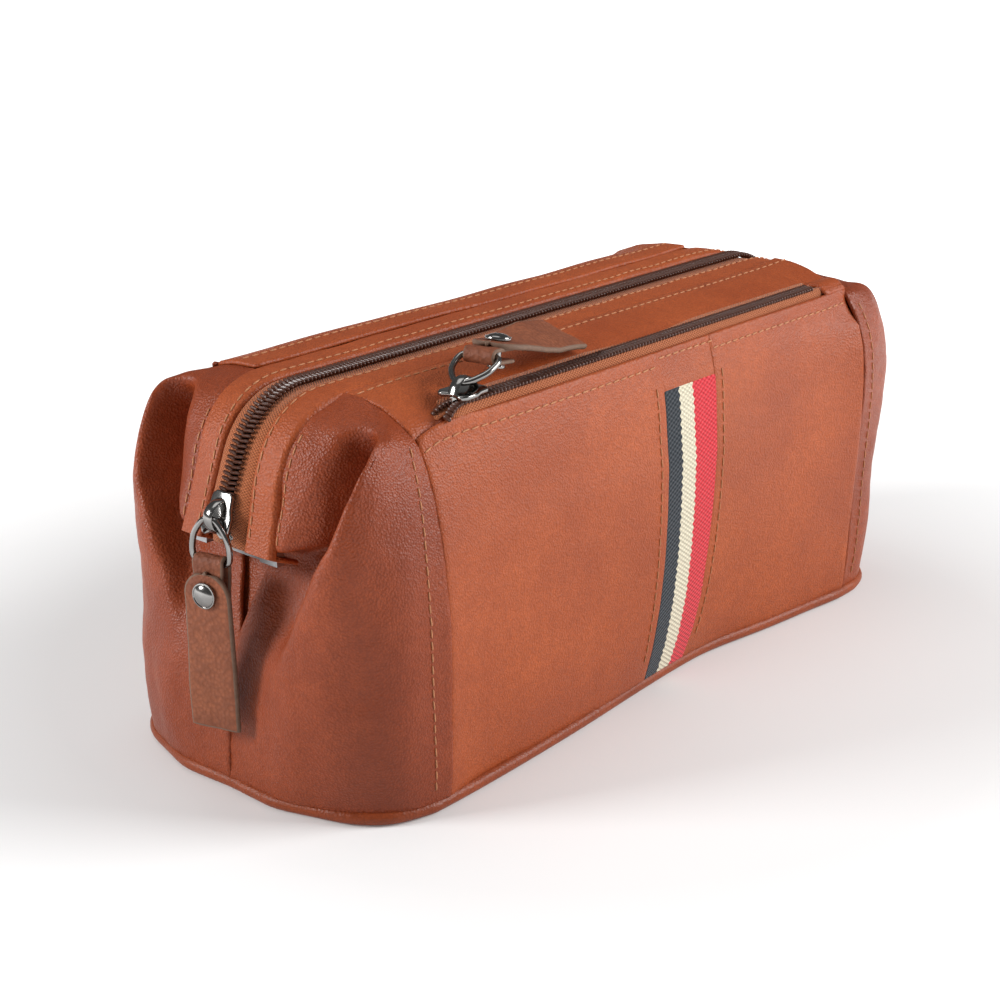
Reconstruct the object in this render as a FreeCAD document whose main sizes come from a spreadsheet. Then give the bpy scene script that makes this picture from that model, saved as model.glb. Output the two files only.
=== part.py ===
"""A framed leather shaving kit bag, in millimetres.

+Z is up, +X runs along the bag and -Y is the pocketed front. The origin is on the floor under the middle of
the base. Each half of the mouth is a steel U-frame that turns about a line inside its own shoulder, so that
the two frame ends stay together and rise as the gussets unfold.
"""
import FreeCAD, Part
import math
import os

PARTS = "parts"
DIMENSIONS = {
    # outline of the bag
    "half_length": 137.0, "half_depth": 56.0, "corner_radius": 30.0, "panel_half": 104.0,
    "hollow": 4.0, "hollow_half": 13.0, "hollow_edge": 22.0,
    "leather": 1.6, "lining": 0.6, "gap": 0.3,
    # base
    "base_leather": 1.8, "board": 1.6, "piping_radius": 2.0, "wall_bottom": 4.0,
    "board_inset_x": 7.0, "board_inset_y": 9.0, "floor_inset_x": 8.0, "floor_inset_y": 10.0,
    # front and back walls, by the y of their outer faces
    "pocket_face": 52.6, "wall_face": 49.6, "back_face": 52.6, "wall_top": 104.6, "pocket_top": 101.5,
    "stripe_width": 26.0, "webbing": 1.3, "webbing_top": 99.0, "backing_margin": 5.0, "backing": 0.9,
    # the line that each half of the mouth turns about, and the room kept around it
    "turn_y": 36.5, "turn_z": 89.0, "turn_clear": 20.6,
    "room_end": 158.0, "room_step": 2.2, "room_drop": 4.2,
    # route of the main zip: flat top, rounded corner, straight leg leaning outward
    "zip_top": 115.3, "zip_radius": 26.0, "zip_flat_half": 104.4, "leg_lean": 22.6, "leg_length": 25.2,
    "strip_inner": 9.5, "strip_outer": 20.0, "strip_rise": 0.7, "strip_under": 0.7, "strip_cut": 6.0,
    "tape_inner": 1.2, "tape_outer": 19.0, "tape_over": -2.9, "tape_under": 3.6,
    "coil_inner": 0.6, "coil_outer": 3.2, "coil_height": 2.6, "coil_stop": 16.6,
    "tail_half": 8.0, "tail_low": 0.4, "tail_top": 12.6,
    # steel frame, its ears and the pivot between its halves
    "bar_inner": 11.0, "bar_outer": 18.0, "bar_over": -5.6, "bar_under": 7.4, "pivot_z": 75.0,
    "ear_outer_x": 130.6, "foot_outer_x": 131.6, "ear": 1.8, "ear_gap": 0.4, "ear_radius": 3.5,
    "pin_radius": 1.4, "pin_length": 0.5, "head_radius": 2.6, "head": 0.8,
    # shoulders
    "shoulder_half": 124.0, "shoulder_inner": 20.4, "shoulder_outer": 39.4, "shoulder_high": 115.9,
    "shoulder_low": 113.4, "shoulder_fold": 10.0, "shoulder_drop": 3.6,
    # pocket zip
    "pocket_zip_y": 43.6, "pocket_zip_z": 113.6, "pocket_zip_half": 96.0, "pocket_tape": 4.0, "tape": 0.7,
    "end_tab": 8.0, "end_tab_height": 3.2,
    # zip slider and pull, shared by both zips
    "slider_length": 13.0, "slider_half": 5.5, "slider_nose": 4.2, "plate": 1.2, "post": 0.8,
    "bridge_half": 1.6, "bridge_height": 5.2, "bridge_back": 5.2, "eye_rise": 1.5, "eye_length": 4.4,
    "eye_height": 2.3,
    "wire_radius": 0.85, "ring_half": 6.4, "ring_length": 12.6, "ring_round": 4.0, "ring_foot": 1.3,
    "loop_half": 4.6, "loop_room": 0.35, "loop_leather": 1.2, "loop_length": 11.0,
    "tab_half": 7.3, "tab_length": 48.0, "tab_leather": 1.7, "cap_radius": 3.7, "cap_height": 1.5,
    "pull_rivet": 1.3, "pull_rivet_x": -8.4, "main_slider_up": 8.2, "pocket_slider_x": -83.0,
}

doc = FreeCAD.newDocument("shaving_kit_bag")
sheet = doc.addObject("Spreadsheet::Sheet", "Dims")
for row, (alias, number) in enumerate(DIMENSIONS.items(), start=1):
    sheet.set(f"A{row}", alias)
    sheet.set(f"B{row}", str(number))
    sheet.setAlias(f"B{row}", alias)
doc.recompute()
nodes = []


def dim(alias):
    """Read one driving dimension from the sheet."""
    return float(sheet.get(alias))


def vec(x, y, z=0.0):
    return FreeCAD.Vector(x, y, z)


def keep(item, label):
    """Register a finished sub-part under the name of its file."""
    item.Label = label
    nodes.append(item)
    return item


def bind(item, **formulas):
    """Tie properties of an object to formulas over the sheet's aliases."""
    for name, formula in formulas.items():
        path = name.replace("_", ".")
        item.setExpression(path, formula)


def box(label, low, size):
    """A plate whose corner and size are six formulas over the sheet."""
    item = doc.addObject("Part::Box", label)
    bind(item, Length=size[0], Width=size[1], Height=size[2])
    bind(item, Placement_Base_x=low[0], Placement_Base_y=low[1], Placement_Base_z=low[2])
    return keep(item, label)


def origin_plane(body, role):
    return next(f for f in body.Origin.OriginFeatures if f.Role == role)


def sketch_on(body, role, edges, offset=None):
    """Put a closed outline on one of the body's own origin planes, moved along its normal by a formula."""
    sketch = body.newObject("Sketcher::SketchObject", "Outline")
    sketch.AttachmentSupport = [(origin_plane(body, role), "")]
    sketch.MapMode = "FlatFace"
    sketch.addGeometry(edges, False)
    if offset:
        sketch.setExpression("AttachmentOffset.Base.z", offset)
    return sketch


def pad_body(label, role, edges, length, offset=None):
    """A PartDesign body: one outline, padded by a formula."""
    body = doc.addObject("PartDesign::Body", label)
    sketch = sketch_on(body, role, edges, offset)
    pad = body.newObject("PartDesign::Pad", "Pad")
    pad.Profile = sketch
    pad.setExpression("Length", length)
    body.Tip = pad
    doc.recompute()
    return keep(body, label)


def cut_through(body, role, edges):
    """Cut an outline right through the body, on both sides of the plane."""
    before = body.Shape.Volume
    sketch = sketch_on(body, role, edges)
    pocket = body.newObject("PartDesign::Pocket", "Pocket")
    pocket.Profile = sketch
    pocket.Type = "ThroughAll"
    pocket.Midplane = True
    body.Tip = pocket
    doc.recompute()
    if body.Shape.Volume >= before:
        raise RuntimeError(f"{body.Label}: the cut removed nothing")


def polygon(points):
    corners = [vec(*p) for p in points]
    return [Part.LineSegment(a, b) for a, b in zip(corners, corners[1:] + corners[:1])]


def arc(centre, radius, start, end):
    """The arc about centre from one angle to another, in degrees, through the angle half way."""
    def at(angle):
        turn = math.radians(angle)
        return vec(centre[0] + radius * math.cos(turn), centre[1] + radius * math.sin(turn))
    return Part.Arc(at(start), at((start + end) / 2), at(end))


def rounded_plate(half_x, half_y, radius):
    """A rectangle about the origin with four round corners."""
    edges = []
    corners = [(1, 1, 0), (-1, 1, 90), (-1, -1, 180), (1, -1, 270)]
    for sx, sy, start in corners:
        centre = (sx * (half_x - radius), sy * (half_y - radius))
        edges.append(arc(centre, radius, start, start + 90))
    closed = []
    for now, after in zip(edges, edges[1:] + edges[:1]):
        closed += [now, Part.LineSegment(now.EndPoint, after.StartPoint)]
    return closed


# ---------------------------------------------------------------- base

def base_parts():
    inset = dim("piping_radius")
    half_x, half_y, radius = dim("half_length"), dim("half_depth"), dim("corner_radius")
    base = rounded_plate(half_x - inset - 0.4, half_y - inset - 0.4, radius - inset)
    pad_body("base_panel", "XY_Plane", base, "Dims.base_leather")
    board = rounded_plate(half_x - dim("board_inset_x"), half_y - dim("board_inset_y"), radius - 6)
    pad_body("base_board", "XY_Plane", board, "Dims.board", "Dims.base_leather + 0.1")


def piping(label, edges):
    """Round piping along a flat route, resting on the floor."""
    radius = dim("piping_radius")
    wire = Part.Wire([e.toShape() for e in edges])
    start = wire.Edges[0]
    point = start.valueAt(start.FirstParameter)
    tangent = start.tangentAt(start.FirstParameter)
    profile = Part.Wire([Part.Circle(point, tangent, radius).toShape()])
    item = doc.addObject("Part::Feature", label)
    item.Shape = wire.makePipeShell([profile], True, False)
    item.Placement = FreeCAD.Placement(vec(0, 0, radius), FreeCAD.Rotation())
    return keep(item, label)


def piping_parts():
    x, y, r = dim("half_length"), dim("half_depth"), dim("corner_radius")
    seam = dim("panel_half")
    for side, name in ((-1, "front"), (1, "back")):
        piping(f"piping_{name}", [Part.LineSegment(vec(-seam + 0.2, side * y), vec(seam - 0.2, side * y))])
    for side, name in ((-1, "left"), (1, "right")):
        outward = 0 if side > 0 else 180
        front = arc((side * (x - r), r - y), r, outward - 90 * side, outward)
        back = arc((side * (x - r), y - r), r, outward, outward + 90 * side)
        piping(f"piping_{name}", [Part.LineSegment(vec(side * (seam + 0.1), -y), front.StartPoint), front,
                                  Part.LineSegment(front.EndPoint, back.StartPoint), back,
                                  Part.LineSegment(back.EndPoint, vec(side * (seam + 0.1), y))])


# ---------------------------------------------------------------- walls

def wall_parts():
    """Leather walls and the stripe, each a flat panel standing on the base seam."""
    bottom = "Dims.wall_bottom"
    length = "2 * Dims.panel_half - 0.4"
    left = "-Dims.panel_half + 0.2"
    box("front_wall", (left, "-Dims.wall_face", bottom), (length, "Dims.leather - 0.2", "Dims.wall_top - 4"))
    box("back_wall", (left, "Dims.back_face - Dims.leather", bottom),
        (length, "Dims.leather", "Dims.pocket_top - 4"))
    rise = "Dims.pocket_top - 4"
    skin = "Dims.leather - 0.2"
    box("pocket_front_left", (left, "-Dims.pocket_face", bottom), ("Dims.panel_half - 0.5", skin, rise))
    box("pocket_front_right", ("Dims.stripe_width + 0.3", "-Dims.pocket_face", bottom),
        ("Dims.panel_half - Dims.stripe_width - 0.5", skin, rise))
    box("stripe_backing", ("-Dims.backing_margin", "-Dims.pocket_face + Dims.leather", bottom),
        ("Dims.stripe_width + 2 * Dims.backing_margin", "Dims.backing", rise))
    box("webbing_stripe", ("0.2", "-Dims.pocket_face + 0.1", bottom),
        ("Dims.stripe_width - 0.4", "Dims.webbing", "Dims.webbing_top - 4"))


def gusset(label, side_x, side_y):
    """One half of an end wall: from the centre seam round the corner to the seam with the front or back."""
    x, y, r = dim("half_length"), dim("half_depth"), dim("corner_radius")
    thick, seam = dim("leather") + 0.2, dim("panel_half")
    centre = (side_x * (x - r), side_y * (y - r))
    end_on = 0 if side_x > 0 else 180
    side_on = end_on + 90 * side_x * side_y
    outer = arc(centre, r, end_on, side_on)
    inner = arc(centre, r - thick, end_on, side_on)
    hollow, half, edge = dim("hollow"), dim("hollow_half"), dim("hollow_edge")
    seam_y = side_y * y
    path_out = [vec(side_x * (x - hollow), side_y * 0.2), vec(side_x * (x - hollow), side_y * half),
                vec(side_x * x, side_y * edge), outer.StartPoint]
    path_in = [inner.StartPoint, vec(side_x * (x - thick), side_y * (edge + 0.4)),
               vec(side_x * (x - hollow - thick), side_y * (half + 0.4)),
               vec(side_x * (x - hollow - thick), side_y * 0.2), path_out[0]]
    path_seam = [outer.EndPoint, vec(side_x * (seam + 0.1), seam_y),
                 vec(side_x * (seam + 0.1), seam_y - side_y * thick), inner.EndPoint]
    outline = [outer, inner]
    for path in (path_out, path_in, path_seam):
        outline += [Part.LineSegment(a, b) for a, b in zip(path, path[1:])]
    body = pad_body(label, "XY_Plane", outline, "Dims.zip_top - Dims.wall_bottom", "Dims.wall_bottom")
    cut_through(body, "YZ_Plane", mouth_room(side_y))


def mouth_room(side):
    """The space above a gusset half that the turning frame needs, seen along X."""
    turn_y, turn_z, clear = dim("turn_y"), dim("turn_z"), dim("turn_clear")
    low, high = dim("pivot_z") - dim("room_drop"), dim("zip_top") + 5
    step_y = turn_y + dim("room_step")
    step_angle = math.degrees(math.acos((turn_y - step_y) / clear))
    edge = [arc((-turn_y, turn_z), clear, step_angle, dim("room_end"))]
    far = vec(edge[0].EndPoint.x - 9, edge[0].EndPoint.y)
    corners = [edge[0].EndPoint, far, vec(far.x, high), vec(1, high), vec(1, low), vec(-step_y, low),
               edge[0].StartPoint]
    edges = edge + [Part.LineSegment(a, b) for a, b in zip(corners, corners[1:])]
    if side > 0:
        for item in edges:
            item.mirror(vec(0, 0), vec(0, 1))
    return edges


def lining_parts():
    """The fabric lining: five panels just inside the walls."""
    low = "Dims.wall_bottom + 0.7"
    wide = "2 * Dims.panel_half - 2"
    box("lining_front", ("-Dims.panel_half + 1", "-Dims.wall_face + Dims.leather", low),
        (wide, "Dims.lining", "Dims.pocket_top - 6"))
    box("lining_back", ("-Dims.panel_half + 1", "Dims.back_face - Dims.leather - Dims.lining - 0.2", low),
        (wide, "Dims.lining", "Dims.pocket_top - 6"))
    tall = "Dims.pivot_z - Dims.wall_bottom - 6"
    face = "Dims.half_length - Dims.hollow - Dims.leather - 0.5"
    for name, low_x in (("left", f"-({face})"), ("right", f"{face} - Dims.lining")):
        box(f"lining_{name}", (low_x, "-Dims.hollow_edge", low),
            ("Dims.lining", "2 * Dims.hollow_edge", tall))
    half_x, half_y = dim("half_length") - dim("floor_inset_x"), dim("half_depth") - dim("floor_inset_y")
    floor = rounded_plate(half_x, half_y, dim("corner_radius") - 7)
    pad_body("lining_base", "XY_Plane", floor, "Dims.lining", "Dims.base_leather + Dims.board + 0.3")


# ---------------------------------------------------------------- mouth

def leg_point(offset, along, side):
    """A point on a leg of the zip route: offset outward, and along it down from the end of the corner."""
    lean = math.radians(dim("leg_lean"))
    out = dim("zip_radius") + offset
    x = dim("zip_flat_half") + out * math.cos(lean) + along * math.sin(lean)
    z = dim("zip_top") - dim("zip_radius") + out * math.sin(lean) - along * math.cos(lean)
    return vec(side * x, z)


def route_half(offset, along, side):
    """Leg and corner edges of the zip route on one side, from the leg's foot up."""
    lean = dim("leg_lean")
    centre = (side * dim("zip_flat_half"), dim("zip_top") - dim("zip_radius"))
    first = lean if side > 0 else 180 - lean
    corner = arc(centre, dim("zip_radius") + offset, first, 90)
    return [Part.LineSegment(leg_point(offset, along, side), corner.StartPoint), corner]


def reverse(edge):
    if isinstance(edge, Part.LineSegment):
        return Part.LineSegment(edge.EndPoint, edge.StartPoint)
    middle = edge.value((edge.FirstParameter + edge.LastParameter) / 2)
    return Part.Arc(edge.EndPoint, middle, edge.StartPoint)


def band(over, under, left_along, right_along):
    """Outline of a band that follows the zip route, between two offsets from it."""
    outer_left, outer_right = route_half(over, left_along, -1), route_half(over, right_along, 1)
    inner_left, inner_right = route_half(-under, left_along, -1), route_half(-under, right_along, 1)
    outer = outer_left + [Part.LineSegment(outer_left[1].EndPoint, outer_right[1].EndPoint)]
    outer += [reverse(e) for e in reversed(outer_right)]
    inner = inner_right + [Part.LineSegment(inner_right[1].EndPoint, inner_left[1].EndPoint)]
    inner += [reverse(e) for e in reversed(inner_left)]
    foot_right = Part.LineSegment(outer[-1].EndPoint, inner[0].StartPoint)
    foot_left = Part.LineSegment(inner[-1].EndPoint, outer[0].StartPoint)
    return outer + [foot_right] + inner + [foot_left]


def mouth_band(label, side, near, far, over, under, left_cut=0.0, right_cut=0.0):
    """A band along the zip route on the front (side -1) or back (side 1), between two distances from it."""
    leg = dim("leg_length")
    edges = band(over, under, leg - left_cut, leg - right_cut)
    start = f"Dims.{near}" if side < 0 else f"-Dims.{far}"
    return pad_body(label, "XZ_Plane", edges, f"Dims.{far} - Dims.{near}", start)


def frame_bar(label, side, outer_x):
    """The steel U of one half: a flat bar along the route with a pivot ear lapped across each end."""
    bar = mouth_band(f"{label}_bar", side, "bar_inner", "bar_outer", dim("bar_over"), dim("bar_under"))
    nodes.remove(bar)
    radius, thick, reach = dim("ear_radius"), dim("ear"), dim("bar_outer")
    low_z, near_y = dim("pivot_z") - radius, -reach if side < 0 else 0
    foot_y = -reach if side < 0 else dim("bar_inner")
    pieces = []
    for end in (-1, 1):
        low_x = outer_x - thick if end > 0 else -outer_x
        foot_x = outer_x - thick if end > 0 else -dim("foot_outer_x")
        foot = Part.makeBox(dim("foot_outer_x") - outer_x + thick, reach - dim("bar_inner"), 2 * radius,
                            vec(foot_x, foot_y, low_z))
        arm = Part.makeBox(thick, reach, 2 * radius, vec(low_x, near_y, low_z))
        disc = Part.makeCylinder(radius, thick, vec(low_x, 0, dim("pivot_z")), vec(1, 0, 0))
        pieces.append(arm.fuse([disc, foot]))
    ears = doc.addObject("Part::Feature", f"{label}_ears")
    ears.Shape = Part.makeCompound(pieces)
    fused = doc.addObject("Part::MultiFuse", label)
    fused.Shapes = [bar, ears]
    fused.Refine = True
    doc.recompute()
    return keep(fused, label)


def hinge_rivets():
    """The pivot pin's head at each end. It rises with the ears and stops short of them."""
    face = dim("ear_outer_x") + 0.1
    for turn, name in ((180, "left"), (0, "right")):
        pin = Part.makeCylinder(dim("pin_radius"), dim("pin_length"), vec(face, 0, 0), vec(1, 0, 0))
        head = Part.makeCylinder(dim("head_radius"), dim("head"), vec(face + 0.2, 0, 0), vec(1, 0, 0))
        item = doc.addObject("Part::Feature", f"hinge_rivet_{name}")
        item.Shape = head.fuse(pin)
        item.Placement = FreeCAD.Placement(vec(0, 0, dim("pivot_z")), rotation(("z", turn)))
        keep(item, f"hinge_rivet_{name}")


def zip_tail():
    """The joined end of the zip on the right leg: a short piece of tape with both rows of coil on it."""
    low, high = dim("leg_length") - dim("tail_low"), dim("leg_length") - dim("tail_top")
    bars = []
    for over, under, half in ((dim("tape_over"), dim("tape_under"), dim("tail_half")),
                              (0, dim("coil_height"), dim("coil_outer"))):
        corners = [leg_point(over, low, 1), leg_point(over, high, 1), leg_point(-under, high, 1),
                   leg_point(-under, low, 1)]
        loop = [vec(p.x, -half, p.y) for p in corners]
        bars.append(Part.Face(Part.makePolygon(loop + loop[:1])).extrude(vec(0, 2 * half, 0)))
    bond = [leg_point(-1, low, 1), leg_point(-1, high, 1), leg_point(-dim("tape_under"), high, 1),
            leg_point(-dim("tape_under"), low, 1)]
    loop = [vec(p.x, -1, p.y) for p in bond]
    bars.append(Part.Face(Part.makePolygon(loop + loop[:1])).extrude(vec(0, 2, 0)))
    item = doc.addObject("Part::Feature", "zip_tail")
    item.Shape = bars[0].fuse(bars[1:]).removeSplitter()
    keep(item, "zip_tail")


def shoulder(label, side):
    """Leather between the casing of the frame and the top edge of the wall, seen along X as a thin slope."""
    thick = dim("leather")
    inner, outer = side * dim("shoulder_inner"), side * dim("shoulder_outer")
    high, low = dim("shoulder_high"), dim("shoulder_low")
    top, under = [(inner, high), (outer, low)], [(outer, low - thick), (inner, high - thick)]
    if side > 0:
        fold, drop = outer + dim("shoulder_fold"), low - dim("shoulder_drop")
        top, under = top + [(fold, drop)], [(fold, drop - thick)] + under
    edges = polygon(top + under)
    return pad_body(label, "YZ_Plane", edges, "2 * Dims.shoulder_half", "-Dims.shoulder_half")


def mouth_parts():
    for side, name in ((-1, "front"), (1, "back")):
        casing = (dim("strip_rise"), dim("strip_under"))
        mouth_band(f"{name}_strip", side, "strip_inner", "strip_outer", *casing, dim("strip_cut"),
                   dim("strip_cut"))
        stop = dim("coil_stop")
        mouth_band(f"{name}_zip_tape", side, "tape_inner", "tape_outer", dim("tape_over"), dim("tape_under"),
                   stop, stop)
        mouth_band(f"{name}_zip_coil", side, "coil_inner", "coil_outer", 0, dim("coil_height"), stop, stop)
        shoulder(f"{name}_shoulder", side)
    outer_x = dim("ear_outer_x")
    frame_bar("front_frame_bar", -1, outer_x)
    frame_bar("back_frame_bar", 1, outer_x - dim("ear") - dim("ear_gap"))
    hinge_rivets()
    zip_tail()


# ---------------------------------------------------------------- pocket zip

def pocket_zip_parts():
    length = "2 * Dims.pocket_zip_half"
    left = "-Dims.pocket_zip_half"
    rear, front = "-Dims.pocket_zip_y + Dims.coil_inner", "-Dims.pocket_zip_y - Dims.coil_outer"
    under = "Dims.pocket_zip_z - Dims.coil_height / 2 - 0.3 - Dims.tape"
    coil = ("Dims.coil_outer - Dims.coil_inner", "Dims.coil_height")
    floor = "Dims.pocket_zip_z - Dims.coil_height / 2"
    box("pocket_coil_rear", (left, rear, floor), (length, *coil))
    box("pocket_coil_front", (left, front, floor), (length, *coil))
    box("pocket_tape_rear", (left, "-Dims.pocket_zip_y + Dims.tape_inner - 0.4", under),
        (length, "Dims.pocket_tape - 1", "Dims.tape"))
    box("pocket_tape_front", (left, "-Dims.pocket_zip_y - Dims.pocket_tape - 0.8", under),
        (length, "Dims.pocket_tape", "Dims.tape"))
    box("pocket_end_tab", ("Dims.pocket_zip_half + 0.2", "-Dims.pocket_zip_y - Dims.coil_outer", under),
        ("Dims.end_tab", "2 * Dims.coil_outer", "Dims.end_tab_height"))


# ---------------------------------------------------------------- slider and pull, built once per zip
# Local axes: +x towards the closed chain, +z away from the bag, origin on the chain's outer face.

def slider(label, place):
    nose, half, length = dim("slider_nose"), dim("slider_half"), dim("slider_length")
    shape = [(length / 2, -nose), (length / 2, nose), (-1, half), (-length / 2, half - 1),
             (-length / 2, 1 - half), (-1, -half)]
    outline = Part.Face(Part.makePolygon([vec(*p) for p in shape + shape[:1]]))
    plate, under = dim("plate"), dim("tape_under") + 0.3
    top = outline.extrude(vec(0, 0, plate)).translated(vec(0, 0, dim("gap")))
    bottom = outline.extrude(vec(0, 0, plate)).translated(vec(0, 0, -under - plate))
    post = Part.makeBox(4, dim("post"), under + dim("gap") + 0.2, vec(-length / 2 + 0.5, -dim("post") / 2,
                                                                     -under - 0.1))
    back, rise, wide = dim("bridge_back"), dim("bridge_height"), dim("bridge_half")
    bridge = Part.makeBox(back + 4.5, 2 * wide, rise, vec(-back, -wide, dim("gap") + plate - 0.1))
    eye = Part.makeBox(dim("eye_length"), 4 * wide, dim("eye_height"),
                       vec(-back + 1.1, -2 * wide, dim("gap") + plate + dim("eye_rise")))
    body = top.fuse([bottom, post, bridge]).cut(eye).removeSplitter()
    item = doc.addObject("Part::Feature", label)
    item.Shape = body
    item.Placement = place
    return keep(item, label)


def ring(label, place):
    """A wire D that hangs along local -x from its straight top bar, which lies on the local y axis."""
    half, length, wire_r = dim("ring_half"), dim("ring_length"), dim("wire_radius")
    corner, foot = dim("ring_round"), dim("ring_foot")
    path = [Part.LineSegment(vec(0, 0), vec(0, half - corner)),
            arc((-corner, half - corner), corner, 0, 90),
            Part.LineSegment(vec(-corner, half), vec(foot - length, half)),
            arc((foot - length, half - foot), foot, 90, 180),
            Part.LineSegment(vec(-length, half - foot), vec(-length, foot - half)),
            arc((foot - length, foot - half), foot, 180, 270),
            Part.LineSegment(vec(foot - length, -half), vec(-corner, -half)),
            arc((-corner, corner - half), corner, 270, 360),
            Part.LineSegment(vec(0, corner - half), vec(0, 0))]
    wire = Part.Wire([edge.toShape() for edge in path])
    profile = Part.Wire([Part.Circle(vec(0, 0), vec(0, 1, 0), wire_r).toShape()])
    item = doc.addObject("Part::Feature", label)
    item.Shape = wire.makePipeShell([profile], True, True)
    item.Placement = place
    return keep(item, label)


def loop(label, place):
    """The leather loop round the ring's foot, its two plies running along local -x."""
    inside = dim("wire_radius") + dim("loop_room")
    outside = inside + dim("loop_leather")
    length = dim("loop_length")
    edges = [arc((0, 0), outside, -90, 90), Part.LineSegment(vec(0, outside), vec(-length, outside)),
             Part.LineSegment(vec(-length, outside), vec(-length, inside)),
             Part.LineSegment(vec(-length, inside), vec(0, inside)), arc((0, 0), inside, 90, -90),
             Part.LineSegment(vec(0, -inside), vec(-length, -inside)),
             Part.LineSegment(vec(-length, -inside), vec(-length, -outside)),
             Part.LineSegment(vec(-length, -outside), vec(0, -outside))]
    body = pad_body(label, "XZ_Plane", edges, "2 * Dims.loop_half", "-Dims.loop_half")
    body.Placement = place
    return body


def tab(label, place):
    """The flat leather tab, round at the rivet end, on the outer ply of the loop."""
    half, length = dim("tab_half"), dim("tab_length")
    start = -2.4
    edges = [arc((start - half, 0), half, -90, 90),
             Part.LineSegment(vec(start - half, half), vec(-length, half)),
             Part.LineSegment(vec(-length, half), vec(-length, -half)),
             Part.LineSegment(vec(-length, -half), vec(start - half, -half))]
    lift = "Dims.wire_radius + Dims.loop_room + Dims.loop_leather + 0.05"
    body = pad_body(label, "XY_Plane", edges, "Dims.tab_leather", lift)
    bore = body.newObject("Sketcher::SketchObject", "Bore")
    bore.AttachmentSupport = [(origin_plane(body, "XY_Plane"), "")]
    bore.MapMode = "FlatFace"
    bore.addGeometry(Part.Circle(vec(dim("pull_rivet_x"), 0), vec(0, 0, 1), dim("pull_rivet") + 0.05), False)
    pocket = body.newObject("PartDesign::Pocket", "Pocket")
    pocket.Profile = bore
    pocket.Type = "ThroughAll"
    pocket.Midplane = True
    body.Tip = pocket
    doc.recompute()
    body.Placement = place
    return body


def rivet(label, place):
    """A domed cap rivet through the tab and both plies of the loop."""
    inside = dim("wire_radius") + dim("loop_room")
    ply = inside + dim("loop_leather")
    face = ply + 0.05 + dim("tab_leather") + 0.05
    radius, height = dim("cap_radius"), dim("cap_height")
    ball = (radius ** 2 + height ** 2) / (2 * height)
    dome = Part.makeSphere(ball, vec(0, 0, face + height - ball))
    cap = dome.common(Part.makeCylinder(radius + 1, height + 1, vec(0, 0, face)))
    back = Part.makeCylinder(radius - 1.0, 0.4, vec(0, 0, -ply - 0.45))
    post = Part.makeCylinder(dim("pull_rivet"), face + ply + 0.7, vec(0, 0, -ply - 0.3))
    item = doc.addObject("Part::Feature", label)
    item.Shape = cap.fuse([post, back])
    item.Placement = place.multiply(FreeCAD.Placement(vec(dim("pull_rivet_x"), 0, 0), FreeCAD.Rotation()))
    return keep(item, label)


def bored_loop(name, loop_body, place):
    """Open the loop's plies for the rivet."""
    pin = doc.addObject("Part::Cylinder", f"{name}_loop_bore")
    bind(pin, Radius="Dims.pull_rivet + 0.05", Height="12")
    pin.Placement = place.multiply(FreeCAD.Placement(vec(dim("pull_rivet_x"), 0, -6), FreeCAD.Rotation()))
    cut = doc.addObject("Part::Cut", f"{name}_pull_loop_bored")
    cut.Base, cut.Tool = loop_body, pin
    doc.recompute()
    nodes.remove(loop_body)
    loop_body.Label = f"{name}_pull_loop_unbored"
    return keep(cut, f"{name}_pull_loop")


def pull(name, slider_place, ring_place, tab_place):
    slider(f"{name}_slider", slider_place)
    ring(f"{name}_ring", ring_place)
    bored_loop(name, loop(f"{name}_pull_loop_blank", tab_place), tab_place)
    tab(f"{name}_pull_tab", tab_place)
    rivet(f"{name}_pull_rivet", tab_place)


def rotation(*turns):
    """Turns about Y or Z in degrees, the first one applied first."""
    axes = {"x": vec(1, 0, 0), "y": vec(0, 1, 0), "z": vec(0, 0, 1)}
    result = FreeCAD.Rotation()
    for axis, angle in turns:
        result = FreeCAD.Rotation(axes[axis], angle).multiply(result)
    return result


def eye_centre(place):
    """The middle of the slider's eye, where the ring's top bar lies."""
    x = -dim("bridge_back") + 1.1 + dim("eye_length") / 2
    z = dim("gap") + dim("plate") + dim("eye_rise") + dim("eye_height") / 2
    return place.multVec(vec(x, 0, z))


def ring_foot(place):
    return place.multVec(vec(-dim("ring_length"), 0, 0))


def main_pull():
    """The main zip's slider at the foot of the left leg, ring and tab hanging."""
    lean = dim("leg_lean")
    seat = leg_point(0, dim("leg_length") - dim("main_slider_up"), -1)
    slider_place = FreeCAD.Placement(vec(seat.x, 0, seat.y), rotation(("y", lean - 90)))
    ring_place = FreeCAD.Placement(eye_centre(slider_place), rotation(("y", -90), ("z", 12)))
    hang = rotation(("y", -90), ("x", -2), ("z", 12))
    tab_place = FreeCAD.Placement(ring_foot(ring_place), hang)
    pull("main", slider_place, ring_place, tab_place)


def pocket_pull():
    """The pocket zip's slider at the left end, its ring flipped over it and its tab on the shoulder."""
    outer_face = dim("pocket_zip_z") + dim("coil_height") / 2
    seat = vec(dim("pocket_slider_x"), -dim("pocket_zip_y"), outer_face)
    slider_place = FreeCAD.Placement(seat, rotation())
    ring_place = FreeCAD.Placement(eye_centre(slider_place), rotation(("y", 180 - 22), ("z", 11)))
    tab_place = FreeCAD.Placement(ring_foot(ring_place), rotation(("z", 180), ("y", 10.5), ("z", 11)))
    pull("pocket", slider_place, ring_place, tab_place)


def write_parts():
    doc.recompute()
    for item in doc.Objects:
        if {"Invalid", "Error"} & set(item.State):
            raise RuntimeError(f"{item.Label} failed: {item.State}")
    for item in nodes:
        shape = item.Shape
        if shape.isNull() or not shape.isValid() or shape.Volume <= 0:
            raise RuntimeError(f"{item.Label} has no valid solid")
    os.makedirs(PARTS, exist_ok=True)
    for item in nodes:
        item.Shape.exportStep(os.path.join(PARTS, f"{item.Label}.step"))
    print(len(nodes), "nodes")


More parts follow.
